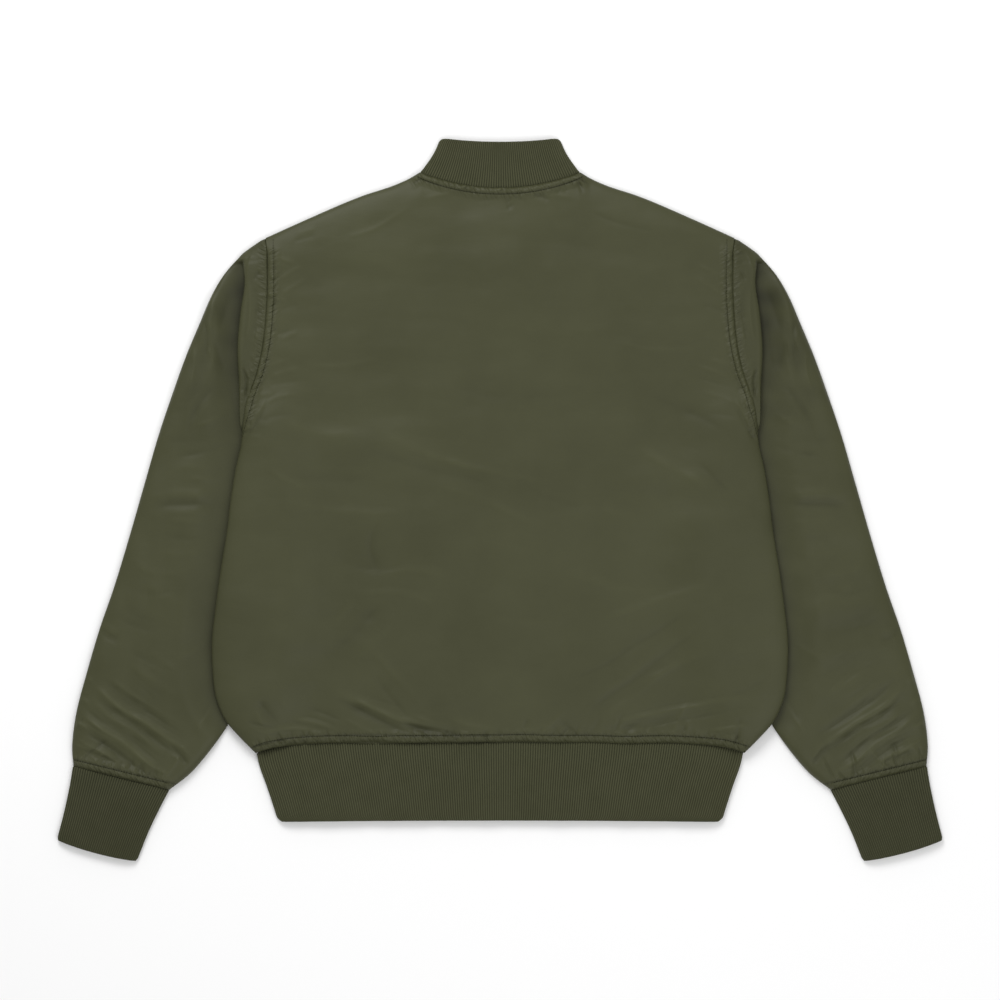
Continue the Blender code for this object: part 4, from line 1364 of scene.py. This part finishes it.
def noise_colour(made, shader, dark, light, scale):
    """The colour wanders between two shades."""
    noise = texture(made, "ShaderNodeTexNoise", Scale=scale, Detail=6.0, Roughness=0.6)
    link(made, ramp(made, noise, 0.3, 0.7, dark, light), shader.inputs["Base Color"])


def add_bump(made, shader, height, strength, distance, onto=None):
    bump = add_node(made, "ShaderNodeBump", Strength=strength, Distance=distance)
    link(made, height, bump.inputs["Height"])
    if onto is not None:
        link(made, onto.outputs["Normal"], bump.inputs["Normal"])
    link(made, bump.outputs["Normal"], shader.inputs["Normal"])
    return bump


def darken_grooves(made, shader):
    """Painted shade between the wales: the knit's colour is darker there, by the crest attribute of its
    points.
    """
    plain = shader.inputs["Base Color"].links[0].from_socket
    by_crest = ramp(made, attribute(made, "crest"), 0.0, 0.9, (0.42, 0.42, 0.42), (1.0, 1.0, 1.0))
    shade = add_node(made, "ShaderNodeMixRGB", blend_type="MULTIPLY", Fac=1.0)
    link(made, plain, shade.inputs["Color1"])
    link(made, by_crest, shade.inputs["Color2"])
    link(made, shade.outputs["Color"], shader.inputs["Base Color"])


def tint_by_shade(made, shader):
    """Painted shade and highlight: the cloth's colour is scaled by the shade attribute, darker in its deep
    folds, recesses and at its seams, lighter on crease ridges.
    """
    plain = shader.inputs["Base Color"].links[0].from_socket
    scaled = add_node(made, "ShaderNodeVectorMath", operation="SCALE")
    link(made, plain, scaled.inputs["Vector"])
    link(made, attribute(made, "shade"), scaled.inputs["Scale"])
    link(made, scaled.outputs["Vector"], shader.inputs["Base Color"])


def shell_material():
    """Olive nylon: a fine twill with a soft satin sheen, fine crumples, gathers beside its seams, and
    painted shade and highlight from the shade attribute.
    """
    made, shader = new_material(
        "nylon_shell", Roughness=0.50, Specular_IOR_Level=0.2,
        Sheen_Weight=0.05, Sheen_Roughness=0.45, Sheen_Tint=(0.62, 0.64, 0.42, 1.0),
    )
    noise_colour(made, shader, (0.0425, 0.0440, 0.0188), (0.0515, 0.0533, 0.0242), 9.0)
    tint_by_shade(made, shader)
    twill = texture(made, "ShaderNodeTexWave", Scale=420.0, Distortion=1.2, Detail=1.0,
                    bands_direction="DIAGONAL")
    weave = add_bump(made, shader, twill, 0.10, 0.0003)
    crumple = texture(made, "ShaderNodeTexNoise", (0.55, 1.25, 1.0), Scale=38.0, Detail=5.0, Roughness=0.55)
    crumpled = add_bump(made, shader, crumple, 0.30, 0.0016, weave)
    # Gathers beside a seam: folds a few millimetres apart along it, slanting a little across it.
    across = attribute(made, "across")
    place = add_node(made, "ShaderNodeCombineXYZ")
    link(made, maths(made, "MULTIPLY_ADD", across, 0.5, attribute(made, "along")), place.inputs["X"])
    link(made, maths(made, "MULTIPLY", across, 0.3), place.inputs["Y"])
    gathers = add_node(made, "ShaderNodeTexNoise", Scale=0.26, Detail=2.0, Roughness=0.45, Distortion=0.3)
    link(made, place.outputs["Vector"], gathers.inputs["Vector"])
    height = maths(made, "MULTIPLY", gathers.outputs["Fac"], attribute(made, "pucker"))
    add_bump(made, shader, height, 1.0, 0.0034, crumpled)
    return made


def rib_material():
    """Matte olive knit, with painted shade darker between its wales, and a faint grain of loops."""
    made, shader = new_material("rib_knit", Roughness=0.88, Specular_IOR_Level=0.15,
                                Sheen_Weight=0.03, Sheen_Roughness=0.6)
    noise_colour(made, shader, (0.0525, 0.0546, 0.0262), (0.0600, 0.0620, 0.0310), 60.0)
    darken_grooves(made, shader)
    loops = texture(made, "ShaderNodeTexNoise", Scale=900.0, Detail=2.0, Roughness=0.6)
    add_bump(made, shader, loops, 0.35, 0.0005)
    return made


def thread_material():
    # The thread is very dark: its own colour, and painted shade of the needle holes along the stitch lines.
    made, shader = new_material("sewing_thread", Roughness=0.6, Specular_IOR_Level=0.1)
    noise_colour(made, shader, (0.014, 0.015, 0.006), (0.022, 0.023, 0.010), 300.0)
    return made


def tape_material():
    """Woven zip tape with a fine diagonal weave."""
    made, shader = new_material("woven_tape", Roughness=0.8)
    noise_colour(made, shader, (0.048, 0.050, 0.029), (0.064, 0.066, 0.040), 150.0)
    weave = texture(made, "ShaderNodeTexWave", Scale=500.0, Distortion=0.5, bands_direction="DIAGONAL")
    add_bump(made, shader, weave, 0.4, 0.0003)
    return made


def metal_material():
    """Dark gunmetal with fine scratches."""
    made, shader = new_material("gunmetal", Roughness=0.34, Metallic=1.0)
    noise_colour(made, shader, (0.13, 0.13, 0.125), (0.20, 0.20, 0.19), 220.0)
    scratches = texture(made, "ShaderNodeTexNoise", Scale=700.0, Detail=3.0)
    add_bump(made, shader, scratches, 0.15, 0.0002)
    return made


# ---- Stage ----

def make_stage():
    mesh = bpy.data.meshes.new("floor")
    reach = 12.0
    corners = [(-reach, -reach, 0.0), (reach, -reach, 0.0), (reach, reach, 0.0), (-reach, reach, 0.0)]
    mesh.from_pydata(corners, [], [(0, 1, 2, 3)])
    made, _ = new_material("pale_floor", Roughness=0.9, Base_Color=(0.86, 0.86, 0.86, 1.0))
    mesh.materials.append(made)
    linked("floor", mesh)


def area_light(name, place, size, power):
    """A square soft light that shines at the middle of the jacket."""
    light = bpy.data.lights.new(name, "AREA")
    light.shape = "SQUARE"
    light.size = size
    light.energy = power
    lamp = linked(name, light)
    lamp.location = place
    lamp.rotation_mode = "QUATERNION"
    lamp.rotation_quaternion = (-Vector(place)).to_track_quat("-Z", "Y")


def make_light():
    area_light("key", (-0.5, 1.6, 1.7), 1.1, 34.0)
    area_light("fill", (0.9, -1.2, 2.2), 2.0, 22.0)
    world = bpy.data.worlds.new("studio")
    world.use_nodes = True
    back = world.node_tree.nodes["Background"]
    back.inputs["Color"].default_value = (1.0, 1.0, 1.0, 1.0)
    back.inputs["Strength"].default_value = 0.62
    bpy.context.scene.world = world
    bpy.context.scene.view_settings.view_transform = "Standard"


def make_camera():
    """Straight above the jacket, far off with a long lens, so that it shows 1.05 m across."""
    height = 10.0
    shown = 1.05
    data = bpy.data.cameras.new("camera")
    data.sensor_width = 36.0
    data.lens = data.sensor_width * height / shown
    data.clip_end = 100.0
    camera = linked("camera", data)
    camera.location = (0.0, 0.0, height)
    bpy.context.scene.camera = camera


# ---- The jacket ----

make_stage()
make_light()
make_camera()

shell = shell_material()
rib = rib_material()
thread = thread_material()
tape = tape_material()
metal = metal_material()

back = make_back(shell)
front_right, front_left = make_fronts(shell)
sleeve_right, sleeve_left = make_sleeves(shell)
hem = make_hem(rib)
cuff_right, cuff_left = make_cuffs(rib)
collar = make_collar(rib)
tape_right, tape_left = make_tapes(tape)
teeth = make_teeth(metal)

for piece, node, slot in (
    (back, "back", "shell"),
    (front_right, "front_right", "shell"),
    (front_left, "front_left", "shell"),
    (sleeve_right, "sleeve_right", "shell"),
    (sleeve_left, "sleeve_left", "shell"),
    (hem, "hem_rib", "rib"),
    (cuff_right, "cuff_right", "rib"),
    (cuff_left, "cuff_left", "rib"),
    (collar, "collar_rib", "rib"),
    (tape_right, "zip_tape_right", "zip_tape"),
    (tape_left, "zip_tape_left", "zip_tape"),
    (teeth, "zip_chain", "zip_metal"),
):
    settle(piece, node)

back_tree = bvh_of(back)
back_lines = []
front_lines = []
cuff_lines = []
cuff_stitch = line_at_cuff(np.linspace(0.02, 0.98, 60), 1.6)
opening = np.column_stack([np.full(80, FRONT_EDGE + OPENING_STRIP), np.linspace(-254.0, 262.0, 80)])
for side, front, sleeve in ((1.0, front_right, sleeve_right), (-1.0, front_left, sleeve_left)):
    sign = (side, 1.0)
    hem_line, armhole_line, neck_line = (line_on_back(kind) * sign for kind in ("hem", "armhole", "neck"))
    back_lines.append((back_tree, hem_line, True, STITCH))
    back_lines.append((back_tree, armhole_line, True, FINE_STITCH))
    back_lines.append((back_tree, neck_line, True, STITCH))
    front_tree = bvh_of(front)
    front_lines.append((front_tree, hem_line[5:], False, STITCH))
    front_lines.append((front_tree, armhole_line, False, FINE_STITCH))
    front_lines.append((front_tree, opening * sign, False, STITCH))
    sleeve_tree = bvh_of(sleeve)
    cuff_lines.append((sleeve_tree, cuff_stitch * sign, True, STITCH))
    cuff_lines.append((sleeve_tree, cuff_stitch * sign, False, STITCH))
back_stitches = stitches("back_stitches", back_lines, thread)
front_stitches = stitches("front_stitches", front_lines, thread)
cuff_stitches = stitches("cuff_stitches", cuff_lines, thread)
for piece in (back_stitches, front_stitches, cuff_stitches):
    settle(piece, None)

for name in ("zip_slider", "zip_pull"):
    node = frame["nodes"][name]
    for slot in node.material_slots:
        slot.material = metal
    bevel = node.modifiers.new("Soft edges", "BEVEL")
    bevel.width = 0.18 * MM
    bevel.segments = 2
    bevel.limit_method = "ANGLE"
